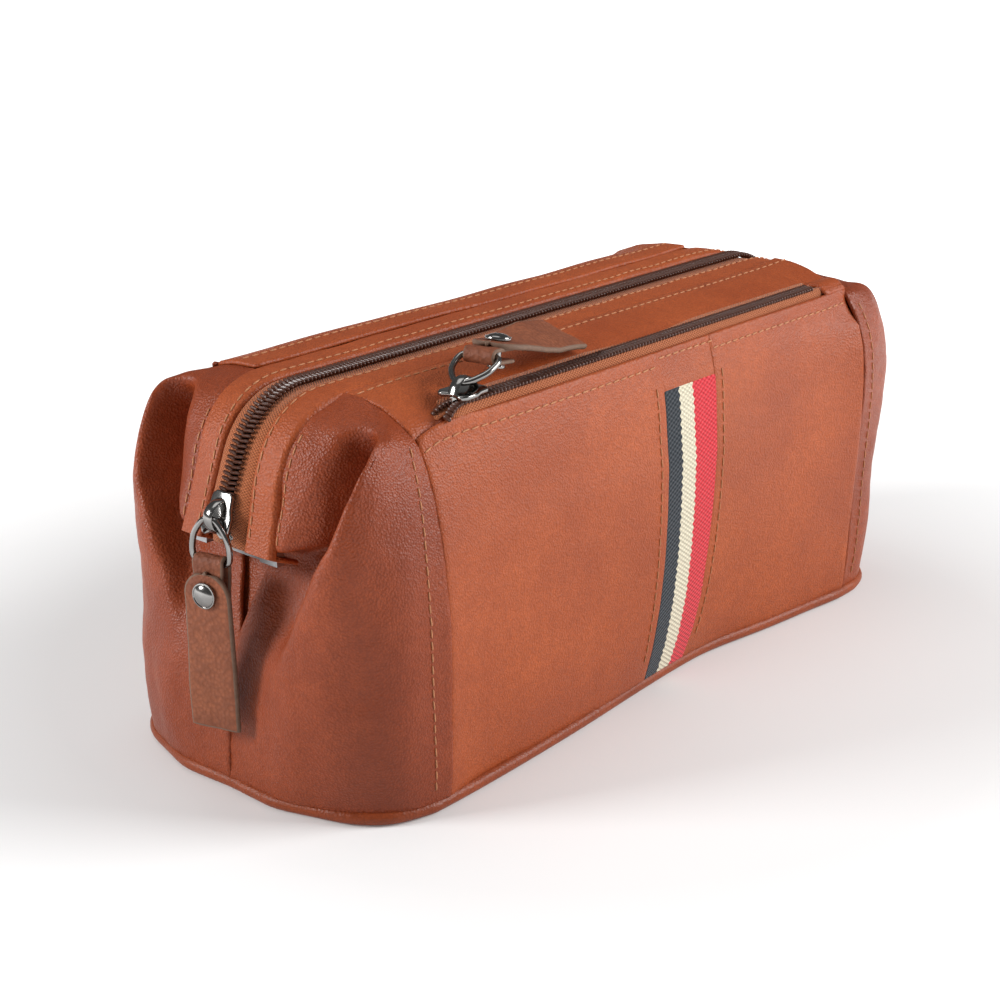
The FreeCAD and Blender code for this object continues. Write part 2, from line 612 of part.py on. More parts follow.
base_parts()
piping_parts()
wall_parts()
for x_side, x_name in ((-1, "left"), (1, "right")):
    for y_side, y_name in ((-1, "front"), (1, "back")):
        gusset(f"gusset_{x_name}_{y_name}", x_side, y_side)
lining_parts()
mouth_parts()
pocket_zip_parts()
main_pull()
pocket_pull()
write_parts()
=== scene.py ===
"""The looks of the framed leather shaving kit bag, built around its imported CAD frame.

Lengths here are in mm unless a name or a comment says otherwise.
"""
import math

import bpy
import numpy as np
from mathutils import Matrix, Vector, noise


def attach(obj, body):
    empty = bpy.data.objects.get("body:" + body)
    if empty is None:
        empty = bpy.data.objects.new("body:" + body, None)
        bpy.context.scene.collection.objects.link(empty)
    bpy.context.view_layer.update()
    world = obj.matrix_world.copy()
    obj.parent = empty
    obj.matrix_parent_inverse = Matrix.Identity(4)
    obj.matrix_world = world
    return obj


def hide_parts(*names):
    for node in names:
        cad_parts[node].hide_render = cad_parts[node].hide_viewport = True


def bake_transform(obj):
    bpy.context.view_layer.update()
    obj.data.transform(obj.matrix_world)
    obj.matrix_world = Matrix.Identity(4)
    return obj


MM = 0.001
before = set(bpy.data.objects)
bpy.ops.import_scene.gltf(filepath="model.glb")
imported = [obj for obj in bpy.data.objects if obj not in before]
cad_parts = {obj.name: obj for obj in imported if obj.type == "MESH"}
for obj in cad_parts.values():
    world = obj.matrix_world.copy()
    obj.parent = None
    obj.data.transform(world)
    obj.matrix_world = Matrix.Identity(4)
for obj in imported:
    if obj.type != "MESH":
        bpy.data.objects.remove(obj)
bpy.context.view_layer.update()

# lines at the walls and at the two halves of the mouth
# the main zip's route: height of its top, half its flat length, corner radius, and the legs' lean and length
TOP, FLAT, RADIUS, LEAN, LEG = 115.3, 104.4, 26.0, math.radians(22.6), 25.2
# x of the upright seams between the walls and the gussets
SEAM = 104.0


# ---------------------------------------------------------------- materials

class Nodes:
    """A short way to wire a shader tree."""

    def __init__(self, name):
        self.material = bpy.data.materials.new(name)
        self.material.use_nodes = True
        self.tree = self.material.node_tree
        self.shader = self.tree.nodes["Principled BSDF"]

    def add(self, kind, **inputs):
        node = self.tree.nodes.new(kind)
        for key, value in inputs.items():
            socket = node.inputs[key.replace("_", " ")]
            if isinstance(value, bpy.types.NodeSocket):
                self.tree.links.new(value, socket)
            else:
                socket.default_value = value
        return node

    def place(self, kind="Object"):
        return self.add("ShaderNodeTexCoord").outputs[kind]

    def mix(self, factor, one, two):
        node = self.add("ShaderNodeMixRGB", Fac=factor)
        for socket, value in ((node.inputs[1], one), (node.inputs[2], two)):
            if isinstance(value, bpy.types.NodeSocket):
                self.tree.links.new(value, socket)
            else:
                socket.default_value = (*value, 1)
        return node.outputs[0]

    def ramp(self, factor, *stops):
        node = self.add("ShaderNodeValToRGB", Fac=factor)
        ramp = node.color_ramp
        while len(ramp.elements) < len(stops):
            ramp.elements.new(0.5)
        for element, (at, colour) in zip(ramp.elements, stops):
            element.position = at
            element.color = (*colour, 1)
        return node.outputs[0]

    def math(self, operation, one, two):
        node = self.tree.nodes.new("ShaderNodeMath")
        node.operation = operation
        for socket, value in zip(node.inputs, (one, two)):
            if isinstance(value, bpy.types.NodeSocket):
                self.tree.links.new(value, socket)
            else:
                socket.default_value = value
        return node.outputs[0]

    def finish(self, colour, roughness, bumps=(), **fixed):
        links, shader = self.tree.links, self.shader
        if isinstance(colour, bpy.types.NodeSocket):
            links.new(colour, shader.inputs["Base Color"])
        else:
            shader.inputs["Base Color"].default_value = (*colour, 1)
        if isinstance(roughness, bpy.types.NodeSocket):
            links.new(roughness, shader.inputs["Roughness"])
        else:
            shader.inputs["Roughness"].default_value = roughness
        for key, value in fixed.items():
            shader.inputs[key.replace("_", " ")].default_value = value
        normal = None
        for height, strength, distance in bumps:
            bump = self.add("ShaderNodeBump", Height=height, Strength=strength, Distance=distance * MM)
            if normal:
                links.new(normal, bump.inputs["Normal"])
            normal = bump.outputs[0]
        if normal:
            links.new(normal, shader.inputs["Normal"])
        return self.material


def leather(name, light, dark, rough, grain, grain_depth, mottle=22):
    n = Nodes(name)
    at = n.place()
    blotch = n.add("ShaderNodeTexNoise", Vector=at, Scale=mottle, Detail=5.0, Roughness=0.6).outputs[0]
    fine = n.add("ShaderNodeTexNoise", Vector=at, Scale=420.0, Detail=3.0).outputs[0]
    cells = n.add("ShaderNodeTexVoronoi", Vector=at, Scale=grain).outputs[0]
    creases = n.add("ShaderNodeTexNoise", Vector=at, Scale=150.0, Detail=8.0, Distortion=1.4).outputs[0]
    colour = n.mix(n.ramp(blotch, (0.36, (0, 0, 0)), (0.66, (1, 1, 1))), dark, light)
    deep = tuple(0.72 * c for c in dark)
    colour = n.mix(n.ramp(fine, (0.42, (0.24,) * 3), (0.6, (0, 0, 0))), colour, deep)
    colour = n.mix(n.ramp(cells, (0.25, (0, 0, 0)), (0.75, (0.42,) * 3)), colour, deep)
    uneven = n.math("MULTIPLY_ADD", blotch, 0.16)
    uneven.node.inputs[2].default_value = rough - 0.08
    return n.finish(colour, uneven, [(creases, 0.12, 0.4), (cells, grain_depth, 0.3), (fine, 0.12, 0.1)],
                    Specular_IOR_Level=0.32)


def woven(name, colour_of, pitch_u, pitch_v, depth, rough=0.85):
    """A weave over the UV map, which is in metres: a chequer of small humps."""
    n = Nodes(name)
    split = n.add("ShaderNodeSeparateXYZ", Vector=n.place("UV"))
    waves = []
    for socket, pitch in ((split.outputs[0], pitch_u), (split.outputs[1], pitch_v)):
        turns = n.math("MULTIPLY", socket, 2 * math.pi / (pitch * MM))
        wave = n.math("SINE", turns, 0)
        waves.append(wave)
    height = n.math("MULTIPLY", waves[0], waves[1])
    fuzz = n.add("ShaderNodeTexNoise", Vector=n.place(), Scale=900.0, Detail=2.0).outputs[0]
    colour = colour_of(n, split, n.math("MULTIPLY_ADD", height, 0.5), fuzz)
    return n.finish(colour, rough, [(height, depth, 0.25), (fuzz, 0.2, 0.1)], Sheen_Weight=0.15)


def plain_weave(light, dark):
    def colour(n, _split, height, _fuzz):
        height.node.inputs[2].default_value = 0.5
        # the low parts of the weave take the dark colour: painted shade between the threads
        return n.mix(height, dark, light)
    return colour


def stripes(n, split, height, _fuzz):
    """Three bands across u, whose edges step with the weave along v."""
    height.node.inputs[2].default_value = 0.5
    step = n.math("SINE", n.math("MULTIPLY", split.outputs[1], 2 * math.pi / (2.6 * MM)), 0)
    across = n.math("ADD", split.outputs[0], n.math("MULTIPLY", step, 0.35 * MM))
    share = n.math("DIVIDE", across, 21 * MM)
    ramp = n.add("ShaderNodeValToRGB", Fac=share)
    ramp.color_ramp.interpolation = "CONSTANT"
    ramp.color_ramp.elements[0].color = (0.016, 0.024, 0.034, 1)
    ramp.color_ramp.elements[1].position = 0.335
    ramp.color_ramp.elements[1].color = (0.80, 0.73, 0.55, 1)
    red = ramp.color_ramp.elements.new(0.668)
    red.color = (0.72, 0.022, 0.038, 1)
    shade = n.ramp(height, (0.0, (0.62,) * 3), (0.9, (1.0,) * 3))
    mixed = n.add("ShaderNodeMixRGB", Fac=0.75)
    mixed.blend_type = "MULTIPLY"
    n.tree.links.new(ramp.outputs[0], mixed.inputs[1])
    n.tree.links.new(shade, mixed.inputs[2])
    return mixed.outputs[0]


def metal(name, colour, rough):
    n = Nodes(name)
    smear = n.add("ShaderNodeTexNoise", Vector=n.place(), Scale=260.0, Detail=4.0).outputs[0]
    uneven = n.math("MULTIPLY_ADD", smear, 0.14)
    uneven.node.inputs[2].default_value = rough
    shade = n.mix(smear, tuple(0.82 * c for c in colour), colour)
    return n.finish(shade, uneven, [(smear, 0.04, 0.05)], Metallic=1.0)


def fibre(name, colour, scale, rough=0.7):
    """A matt material with fine speckle: thread, nylon, board."""
    n = Nodes(name)
    speck = n.add("ShaderNodeTexNoise", Vector=n.place(), Scale=scale, Detail=3.0).outputs[0]
    shade = n.mix(speck, tuple(0.6 * c for c in colour), tuple(min(1, 1.25 * c) for c in colour))
    return n.finish(shade, rough, [(speck, 0.35, 0.08)])


SKIN = leather("bag_leather", (0.46, 0.098, 0.024), (0.34, 0.064, 0.015), 0.46, 1450, 0.6)
# the gussets are the same leather as the body: their darker colour is painted shade on the end walls
SHADED_SIDE = leather("gusset_leather_shaded", (0.36, 0.068, 0.017), (0.24, 0.040, 0.010), 0.42, 1450, 0.7)
TAB = leather("pull_leather", (0.30, 0.092, 0.040), (0.19, 0.054, 0.024), 0.62, 800, 0.9, 60)
RAW = fibre("raw_edge", (0.17, 0.095, 0.06), 700)
CORD = leather("piping_leather", (0.36, 0.072, 0.018), (0.25, 0.046, 0.011), 0.44, 1450, 0.4)
THREAD = fibre("thread", (0.52, 0.21, 0.09), 1600, 0.6)
TAPE = woven("zip_tape_weave", plain_weave((0.48, 0.135, 0.035), (0.27, 0.065, 0.018)), 1.3, 0.9, 0.7)
COIL = fibre("zip_coil_nylon", (0.085, 0.028, 0.015), 900, 0.32)
WEBBING = woven("stripe_webbing", stripes, 2.3, 1.5, 0.9)
LINING = woven("lining_weave", plain_weave((0.035, 0.03, 0.028), (0.018, 0.016, 0.015)), 0.9, 0.9, 0.5)
NICKEL = metal("dark_nickel", (0.30, 0.29, 0.28), 0.09)
STEEL = metal("frame_steel", (0.42, 0.42, 0.43), 0.34)
BOARD = fibre("fibre_board", (0.16, 0.14, 0.12), 300)


# ---------------------------------------------------------------- meshes

def build(name, points, faces, uvs=None, materials=(), indices=None, sharp=40):
    mesh = bpy.data.meshes.new(name)
    mesh.from_pydata((np.asarray(points, float) * MM).tolist(), [], faces)
    if uvs is not None:
        layer = mesh.uv_layers.new(name="UVMap")
        at = np.asarray(uvs, float)[[loop.vertex_index for loop in mesh.loops]] * MM
        layer.data.foreach_set("uv", at.astype(np.float32).ravel())
    for material in materials:
        mesh.materials.append(material)
    if indices is not None:
        mesh.polygons.foreach_set("material_index", indices)
    mesh.polygons.foreach_set("use_smooth", [True] * len(mesh.polygons))
    mesh.set_sharp_from_angle(angle=math.radians(sharp))
    mesh.update()
    piece = bpy.data.objects.new(name, mesh)
    bpy.context.scene.collection.objects.link(piece)
    return piece


def unit(v):
    return v / np.maximum(np.linalg.norm(v, axis=-1, keepdims=True), 1e-9)


def normals(grid):
    du, dv = np.gradient(grid, axis=1), np.gradient(grid, axis=0)
    return unit(np.cross(du, dv))


def spline(points, count):
    """Points read evenly from a Catmull-Rom curve through the rows of points, along the first axis."""
    points = np.asarray(points, float)
    t = np.linspace(0, len(points) - 1, count)
    i = np.minimum(t.astype(int), len(points) - 2)
    f = (t - i).reshape(-1, *([1] * (points.ndim - 1)))
    padded = np.concatenate([2 * points[:1] - points[1:2], points, 2 * points[-1:] - points[-2:-1]])
    a, b, c, d = padded[i], padded[i + 1], padded[i + 2], padded[i + 3]
    square, cube = 2 * a - 5 * b + 4 * c - d, 3 * b - a - 3 * c + d
    return 0.5 * (2 * b + (c - a) * f + square * f ** 2 + cube * f ** 3)


def surface(control, rows, columns):
    grid = spline(control, rows)
    return np.swapaxes(spline(np.swapaxes(grid, 0, 1), columns), 0, 1)


def wrinkle(grid, size, height, seed, along=(1, 1, 1)):
    """Push a grid in and out along its normals by smooth noise."""
    push = np.array([[noise.noise(Vector((p * np.array(along) / size).tolist()) + Vector((seed, 0, 0)))
                      for p in row] for row in grid])
    return grid + normals(grid) * (push * height)[..., None]


def shell(name, grid, thick, materials, rim=3):
    """A sheet with thickness: outer and inner layers joined by a half-round edge."""
    rows, columns = grid.shape[:2]
    n = normals(grid)
    inner = grid - n * thick
    step_u = np.linalg.norm(np.diff(grid, axis=1), axis=-1)
    step_v = np.linalg.norm(np.diff(grid, axis=0), axis=-1)
    u = np.concatenate([np.zeros((rows, 1)), np.cumsum(step_u, axis=1)], axis=1)
    v = np.concatenate([np.zeros((1, columns)), np.cumsum(step_v, axis=0)], axis=0)
    uv = np.stack([u, v], axis=-1).reshape(-1, 2)
    index = np.arange(rows * columns).reshape(rows, columns)
    quads = np.stack([index[:-1, :-1], index[:-1, 1:], index[1:, 1:], index[1:, :-1]], axis=-1).reshape(-1, 4)
    count = rows * columns
    faces = quads.tolist() + (quads[:, ::-1] + count).tolist()
    border = np.concatenate([index[0, :-1], index[:-1, -1], index[-1, :0:-1], index[:0:-1, 0]])
    flat, flat_n = grid.reshape(-1, 3), n.reshape(-1, 3)
    edge, edge_n = flat[border], flat_n[border]
    along = unit(np.roll(edge, -1, axis=0) - np.roll(edge, 1, axis=0))
    out = unit(np.cross(along, edge_n))
    middle = edge - edge_n * thick / 2
    rings, uvs = [border], [uv]
    points = [flat, inner.reshape(-1, 3)]
    uvs.append(uv)
    start = 2 * count
    for k in range(1, rim + 1):
        angle = math.pi * k / (rim + 1)
        points.append(middle + (edge_n * math.cos(angle) + out * math.sin(angle)) * thick / 2)
        uvs.append(uv[border])
        rings.append(np.arange(start, start + len(border)))
        start += len(border)
    rings.append(border + count)
    rim_faces = 0
    for low, high in zip(rings, rings[1:]):
        side = np.stack([low, high, np.roll(high, -1), np.roll(low, -1)], axis=-1)
        faces += side.tolist()
        rim_faces += len(side)
    where = [0] * len(quads) + [min(1, len(materials) - 1)] * len(quads)
    where += [len(materials) - 1 if len(materials) > 2 else 0] * rim_faces
    return build(name, np.concatenate(points), faces, np.concatenate(uvs), materials, where, 60)


def ring_faces(count, sides, base=0, closed=False):
    """Quads between rings of points numbered in order, with a cap on each end unless the rings close up."""
    faces = []
    for i in range(count if closed else count - 1):
        j = (i + 1) % count
        for k in range(sides):
            m = (k + 1) % sides
            faces.append([base + i * sides + k, base + i * sides + m,
                          base + j * sides + m, base + j * sides + k])
    if not closed:
        faces.append([base + k for k in range(sides)][::-1])
        faces.append([base + (count - 1) * sides + k for k in range(sides)])
    return faces


def tube(name, path, radius, material, closed=False, sides=14):
    """A round wire or welt along a path of points."""
    path = np.asarray(path, float)
    if closed:
        along = unit(np.roll(path, -1, axis=0) - np.roll(path, 1, axis=0))
    else:
        along = unit(np.gradient(path, axis=0))
    up = np.array([0.31, 0.17, 0.94])
    frames = []
    for t in along:
        side = unit(np.cross(t, up))
        up = np.cross(side, t)
        frames.append((side, up.copy()))
    points = []
    for p, (side, lift) in zip(path, frames):
        for k in range(sides):
            a = 2 * math.pi * k / sides
            points.append(p + radius * (math.cos(a) * side + math.sin(a) * lift))
    return build(name, points, ring_faces(len(path), sides, 0, closed), None, [material], None, 50)


def capsules(name, items, material, sides=6):
    """Small rounded bars in one mesh. Each item is centre, direction, length, two half widths, normal."""
    rings = [(-1.0, 0.35), (-0.8, 0.8), (-0.45, 1.0), (0.45, 1.0), (0.8, 0.8), (1.0, 0.35)]
    points, faces = [], []
    for centre, way, length, half_a, half_b, lift in items:
        way = unit(np.asarray(way, float))
        side = unit(np.cross(way, lift))
        lift = np.cross(side, way)
        base = len(points)
        for at, share in rings:
            for k in range(sides):
                a = 2 * math.pi * (k + 0.5) / sides
                points.append(centre + way * at * length / 2
                              + share * (half_a * math.cos(a) * side + half_b * math.sin(a) * lift))
        faces += ring_faces(len(rings), sides, base)
    return build(name, points, faces, None, [material], None, 70)


def resample(path, pitch):
    path = np.asarray(path, float)
    steps = np.concatenate([[0], np.cumsum(np.linalg.norm(np.diff(path, axis=0), axis=1))])
    at = np.arange(pitch / 2, steps[-1] - pitch / 4, pitch)
    return np.stack([np.interp(at, steps, path[:, k]) for k in range(3)], axis=-1)


STITCH, STITCH_LENGTH, STITCH_HALF = 3.6, 2.7, 0.27


def stitches(name, path, outward):
    """A row of stitches along a path; outward is a grid of normals along it, or one normal."""
    path = np.asarray(path, float)
    outward = np.broadcast_to(np.asarray(outward, float), path.shape)
    places = resample(path, STITCH)
    items = []
    for p in places:
        nearest = int(np.argmin(np.linalg.norm(path - p, axis=1)))
        a, b = path[max(nearest - 1, 0)], path[min(nearest + 1, len(path) - 1)]
        n = unit(outward[nearest])
        way = unit(b - a) + 0.07 * np.cross(n, unit(b - a))
        items.append((p + 0.1 * n, way, STITCH_LENGTH, STITCH_HALF, STITCH_HALF, n))
    return capsules(name, items, THREAD)


def merge(name, *pieces):
    """Join pieces into the first one."""
    bpy.ops.object.select_all(action="DESELECT")
    for piece in pieces:
        piece.select_set(True)
    bpy.context.view_layer.objects.active = pieces[0]
    bpy.ops.object.join()
    pieces[0].name = name
    pieces[0].data.name = name
    return pieces[0]


def bend(piece):
    """Bake the piece's placement into its mesh."""
    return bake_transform(piece)


# ---------------------------------------------------------------- outline of the soft body

SEAM_Z = (4, 15, 30, 44, 56, 66, 75.5, 81, 86, 93, 100.5, 106.5, 110.8, 113.4)
LEFT_Y = (56, 57, 57, 57, 56.4, 55.5, 54.5, 53.6, 52.6, 50.8, 48.2, 45, 40.8, 35.5)
RIGHT_Y = (54.6, 55.6, 56.2, 56.8, 57.6, 58, 58.4, 58.4, 58.2, 57.4, 55, 51.6, 47.4, 41)
FOLD_TOP = 110.0


def seam_y(z, right):
    return np.interp(z, SEAM_Z, RIGHT_Y if right else LEFT_Y)


def front_y(x, z):
    """How far the front panel stands out at x and height z."""
    middle = np.interp(z, (4, 15, 30, 45, 60, 75, 85, 93, 100, 106, 110),
                       (52.5, 54, 55, 55.2, 54.9, 54.2, 52.8, 51.8, 50.5, 48.9, 47.9))
    middle = middle - 4.6 * math.exp(-((x - 25) / 45) ** 2) * math.exp(-max(z - 4, 0) / 26)
    end = seam_y(z, x > 0)
    if z > 100:
        drop = (z - 100) / 10
        end = (1 - drop) * end + drop * (48.6 if x > 0 else 45.2)
    share = min(1.0, abs(x) / SEAM)
    w = share ** 5
    return (1 - w) * middle + w * end


def fold_z(x):
    """Height of the front panel's top fold."""
    return float(np.interp(x, (-104, -97, -88, 90, 104), (106.6, 109.0, 110.0, 110.2, 110.6)))


def front_grid(x_of, columns, rows, out=0.0, low=4.0, high=None):
    """A grid over the front face. x_of gives the left and right edge at a height."""
    grid = np.zeros((rows, columns, 3))
    for r in range(rows):
        share = r / (rows - 1)
        for c in range(columns):
            guess = low + share * ((high or FOLD_TOP) - low)
            left, right = x_of(guess)
            x = left + (right - left) * c / (columns - 1)
            top = high if high else fold_z(x)
            z = low + share * (top - low)
            grid[r, c] = (x, -front_y(x, z) - out, z)
    return grid


def stripe_left(z):
    return -5.0 * (1 - min(1, max(0, (z - 4) / 96))) ** 1.1


def stripe_right(z):
    return 26 - 10 * (1 - min(1, max(0, (z - 4) / 96))) ** 1.1


def front_panels():
    left = front_grid(lambda z: (-SEAM + 1.0, stripe_left(z) - 0.6), 60, 60, 0.2)
    left = wrinkle(left, 34, 0.55, 3.0, (1, 1, 0.7))
    panel = shell("front_panel_left", left, 1.7, [SKIN])
    seam = stitches("front_panel_left_stitches", left[4:-5, -3], normals(left)[4:-5, -3])
    right = front_grid(lambda z: (stripe_right(z) + 0.4, SEAM - 1.0), 48, 60, 0.2)
    right = wrinkle(right, 34, 0.5, 9.0, (1, 1, 0.7))
    other = shell("front_panel_right", right, 1.9, [SKIN])
    other_seam = stitches("front_panel_right_stitches", right[4:-5, 2], normals(right)[4:-5, 2])
    folds = []
    for name, grid in (("left", left), ("right", right)):
        row = grid[-3]
        folds.append(stitches(f"front_fold_stitches_{name}", row, normals(grid)[-3]))
    for piece in (panel, seam, other, other_seam, *folds):
        bend(piece)
    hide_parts("pocket_front_left")
    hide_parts("pocket_front_right")

    backing = front_grid(lambda z: (stripe_left(z) - 4, stripe_right(z) + 4), 14, 60, -1.6, 4.0, 101)
    backing = shell("stripe_backing_under", backing, 0.9, [SKIN])
    flush = front_grid(lambda z: (stripe_left(z) - 0.9, stripe_right(z) + 0.8), 20, 20, 0.0, 97.6)
    backing = merge("stripe_backing_panel", backing, shell("stripe_backing_top", flush, 1.5, [SKIN]))
    top = front_grid(lambda z: (stripe_left(z) - 1, stripe_right(z) + 1), 14, 3, 0.0, 108.2, 109.2)
    cap_stitch = stitches("front_fold_stitches_middle", top[1], normals(top)[1])
    web = front_grid(lambda z: (stripe_left(z) - 0.2, stripe_right(z) + 0.8), 42, 150, 0.15, 4.0, 98.4)
    web = shell("stripe_webbing", web, 0.8, [WEBBING], 2)
    for piece, node, slot in ((backing, "stripe_backing", "leather"), (web, "webbing_stripe", "webbing")):
        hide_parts(node)
        bend(piece)
    bend(cap_stitch)


SHOULDER_LEFT = [(-19.2, 115.6), (-24, 115.4), (-28.5, 115.3), (-32.5, 114.6), (-35.5, 113.4), (-40.8, 110.8),
                 (-44.4, 107.2), (-44.6, 100), (-45.5, 90)]
SHOULDER_MIDDLE = [(-19.6, 116.0), (-25, 116.3), (-30, 115.6), (-35, 114.5), (-38, 113.3), (-41, 112.0),
                   (-43.6, 110.6), (-46, 106), (-47.4, 90)]
SHOULDER_RIGHT = [(-19.6, 117.2), (-26, 117.0), (-32, 115.9), (-36, 114.6), (-39.5, 113.4), (-42.5, 112.4),
                  (-45.6, 111.0), (-48.4, 106), (-50, 90)]


def shoulder_grid(columns, rows):
    grid = np.zeros((rows, columns, 3))
    profiles = [spline(p, rows) for p in (SHOULDER_LEFT, SHOULDER_MIDDLE, SHOULDER_RIGHT)]
    for c in range(columns):
        x = -SEAM + 2 * SEAM * c / (columns - 1)
        w = min(1.0, max(0.0, (abs(x) - 84) / 20)) ** 1.6
        end = profiles[0] if x < 0 else profiles[2]
        profile = (1 - w) * profiles[1] + w * end
        grid[:, c, 0] = x
        grid[:, c, 1:] = profile
    return grid[::-1]


def shoulders():
    grid = wrinkle(shoulder_grid(90, 26), 26, 0.7, 5.0, (0.7, 1, 1))
    front = shell("front_shoulder_panel", grid, 1.4, [SKIN])
    line = grid[-3]
    seam = stitches("front_shoulder_stitches", line, normals(grid)[-3])
    low = front_grid(lambda z: (-SEAM + 2, SEAM - 2), 60, 24, -4.6, 4.2, 96.0)
    inner = shell("pocket_rear_wall", low, 1.3, [SKIN])
    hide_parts("front_shoulder")
    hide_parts("front_wall")
    for piece in (front, seam, inner):
        bend(piece)

    heights = (4, 15, 30, 45, 60, 75, 85, 93, 101, 106, 109.6, 113, 115.9, 116.5)
    outs = (54.8, 55.6, 56, 55.6, 55, 54, 52.4, 50.4, 48, 45.6, 42.6, 37, 29.6, 19.6)
    rows, columns = 60, 84
    profile = spline(list(zip(outs, heights)), rows)
    back = np.zeros((rows, columns, 3))
    for c in range(columns):
        x = -SEAM + 1 + 2 * (SEAM - 1) * c / (columns - 1)
        w = (abs(x) / SEAM) ** 5
        for r in range(rows):
            y, z = profile[r]
            if y > 30:
                w_here = w * min(1, max(0, (115.5 - z) / 2))
                y = (1 - w_here) * y + w_here * seam_y(z, x > 0)
            back[r, c] = (x, y, z)
    back = wrinkle(back[:, ::-1], 36, 0.8, 12.0, (1, 1, 0.7))
    panel = shell("back_panel", back, 1.7, [SKIN])
    seam = stitches("back_shoulder_stitches", back[-4], normals(back)[-4])
    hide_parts("back_wall", "back_shoulder")
    for piece in (panel, seam):
        bend(piece)


# ---------------------------------------------------------------- gussets

# rows from the base up, each with its height where level, from the middle of the end to the front seam:
# middle or strip seam, two points of the hollow, the hollow beside the fold, the fold, and out to the seam
GUSSET = [
    [(-137.0, 0, 4), (-137.4, -10, 4), (-137.3, -18, 4), (-136.3, -24, 4),
     (-134.5, -30, 4), (-129.5, -42, 4), (-118, -53, 4), (-104, -56, 4)],
    [(-136.8, 0, 15), (-137.6, -11, 15), (-138, -19, 15), (-138, -25, 15),
     (-136.5, -31, 15), (-131, -43, 15), (-119, -53.5, 15), (-104, -57, 15)],
    [(-135.2, 0, 30), (-136.6, -10, 30), (-137.8, -19, 30), (-138.6, -25, 30),
     (-137.5, -32, 30), (-132, -43.5, 30), (-120, -54, 30), (-104, -57, 30)],
    [(-131, 0, 44), (-132, -7, 44), (-134, -13, 43), (-136.4, -20, 43),
     (-138.6, -27.5, 44), (-134.6, -40, 44), (-121, -53.5, 44), (-104, -57, 44)],
    [(-127.6, -3, 56), (-128, -9, 55), (-128.4, -16, 54), (-130.6, -23, 54),
     (-138.0, -30, 57), (-134.6, -42, 57), (-121.5, -53.6, 56), (-104, -56.4, 56)],
    [(-123.8, -6, 66), (-123.8, -12, 65), (-124.2, -20, 64), (-126.2, -27, 64),
     (-137.8, -33.6, 66.5), (-134.5, -44, 66), (-121.5, -53.2, 66), (-104, -55.5, 66)],
    [(-121.5, -9, 72), (-121.5, -15, 71.5), (-121.8, -23, 72), (-124, -31.5, 72.5),
     (-136.6, -37.2, 75), (-133, -46.3, 75.5), (-121, -52.7, 75.5), (-104, -54.5, 75.5)],
    [(-129, -15, 74), (-126, -19.6, 75), (-120.6, -26, 76.5), (-119.6, -34, 78),
     (-135.6, -39.5, 79.6), (-131.5, -47.8, 80.3), (-120, -52.3, 81), (-104, -53.6, 81)],
    [(-132.6, -17, 77.2), (-131.6, -21.6, 77.8), (-125.6, -28.5, 79.6), (-118.5, -36, 82),
     (-134.4, -42, 84.4), (-130, -48.4, 85), (-119, -51.8, 86), (-104, -52.6, 86)],
    [(-129.3, -16.8, 88.6), (-128.8, -21, 89.2), (-124.8, -28.6, 90), (-115.5, -37.4, 90.4),
     (-131.2, -43.8, 93.4), (-127.2, -48.3, 94), (-117.5, -50.6, 94), (-104, -50.8, 93)],
    [(-127, -16.6, 98), (-126.1, -21.4, 98.5), (-122.4, -29.4, 98.9), (-111, -38.2, 97),
     (-126.4, -45.0, 102.2), (-123, -47.9, 102), (-115.5, -48.5, 101.5), (-104, -48.2, 100.5)],
    [(-122.4, -16.8, 106), (-121.4, -22, 106.6), (-119, -30, 106.6), (-109.5, -38, 101.5),
     (-121.0, -44.6, 108.0), (-118, -46.1, 108), (-112.5, -45.9, 107.5), (-104, -45, 106.5)],
    [(-115.6, -17.4, 111.6), (-114.9, -22.6, 111.9), (-114.2, -30, 111.6), (-113.4, -36.5, 110.4),
     (-114.2, -41.0, 110.7), (-112, -42.4, 110.7), (-108.5, -41.8, 110.4), (-104, -40.4, 110.2)],
    [(-104.4, -18, 115.1), (-104.4, -22, 115.1), (-104.4, -25, 115.0), (-104.3, -28, 114.7),
     (-104.2, -30.5, 114.3), (-104.1, -32.4, 113.8), (-104, -33.9, 113.3), (-104, -35.2, 112.8)],
]


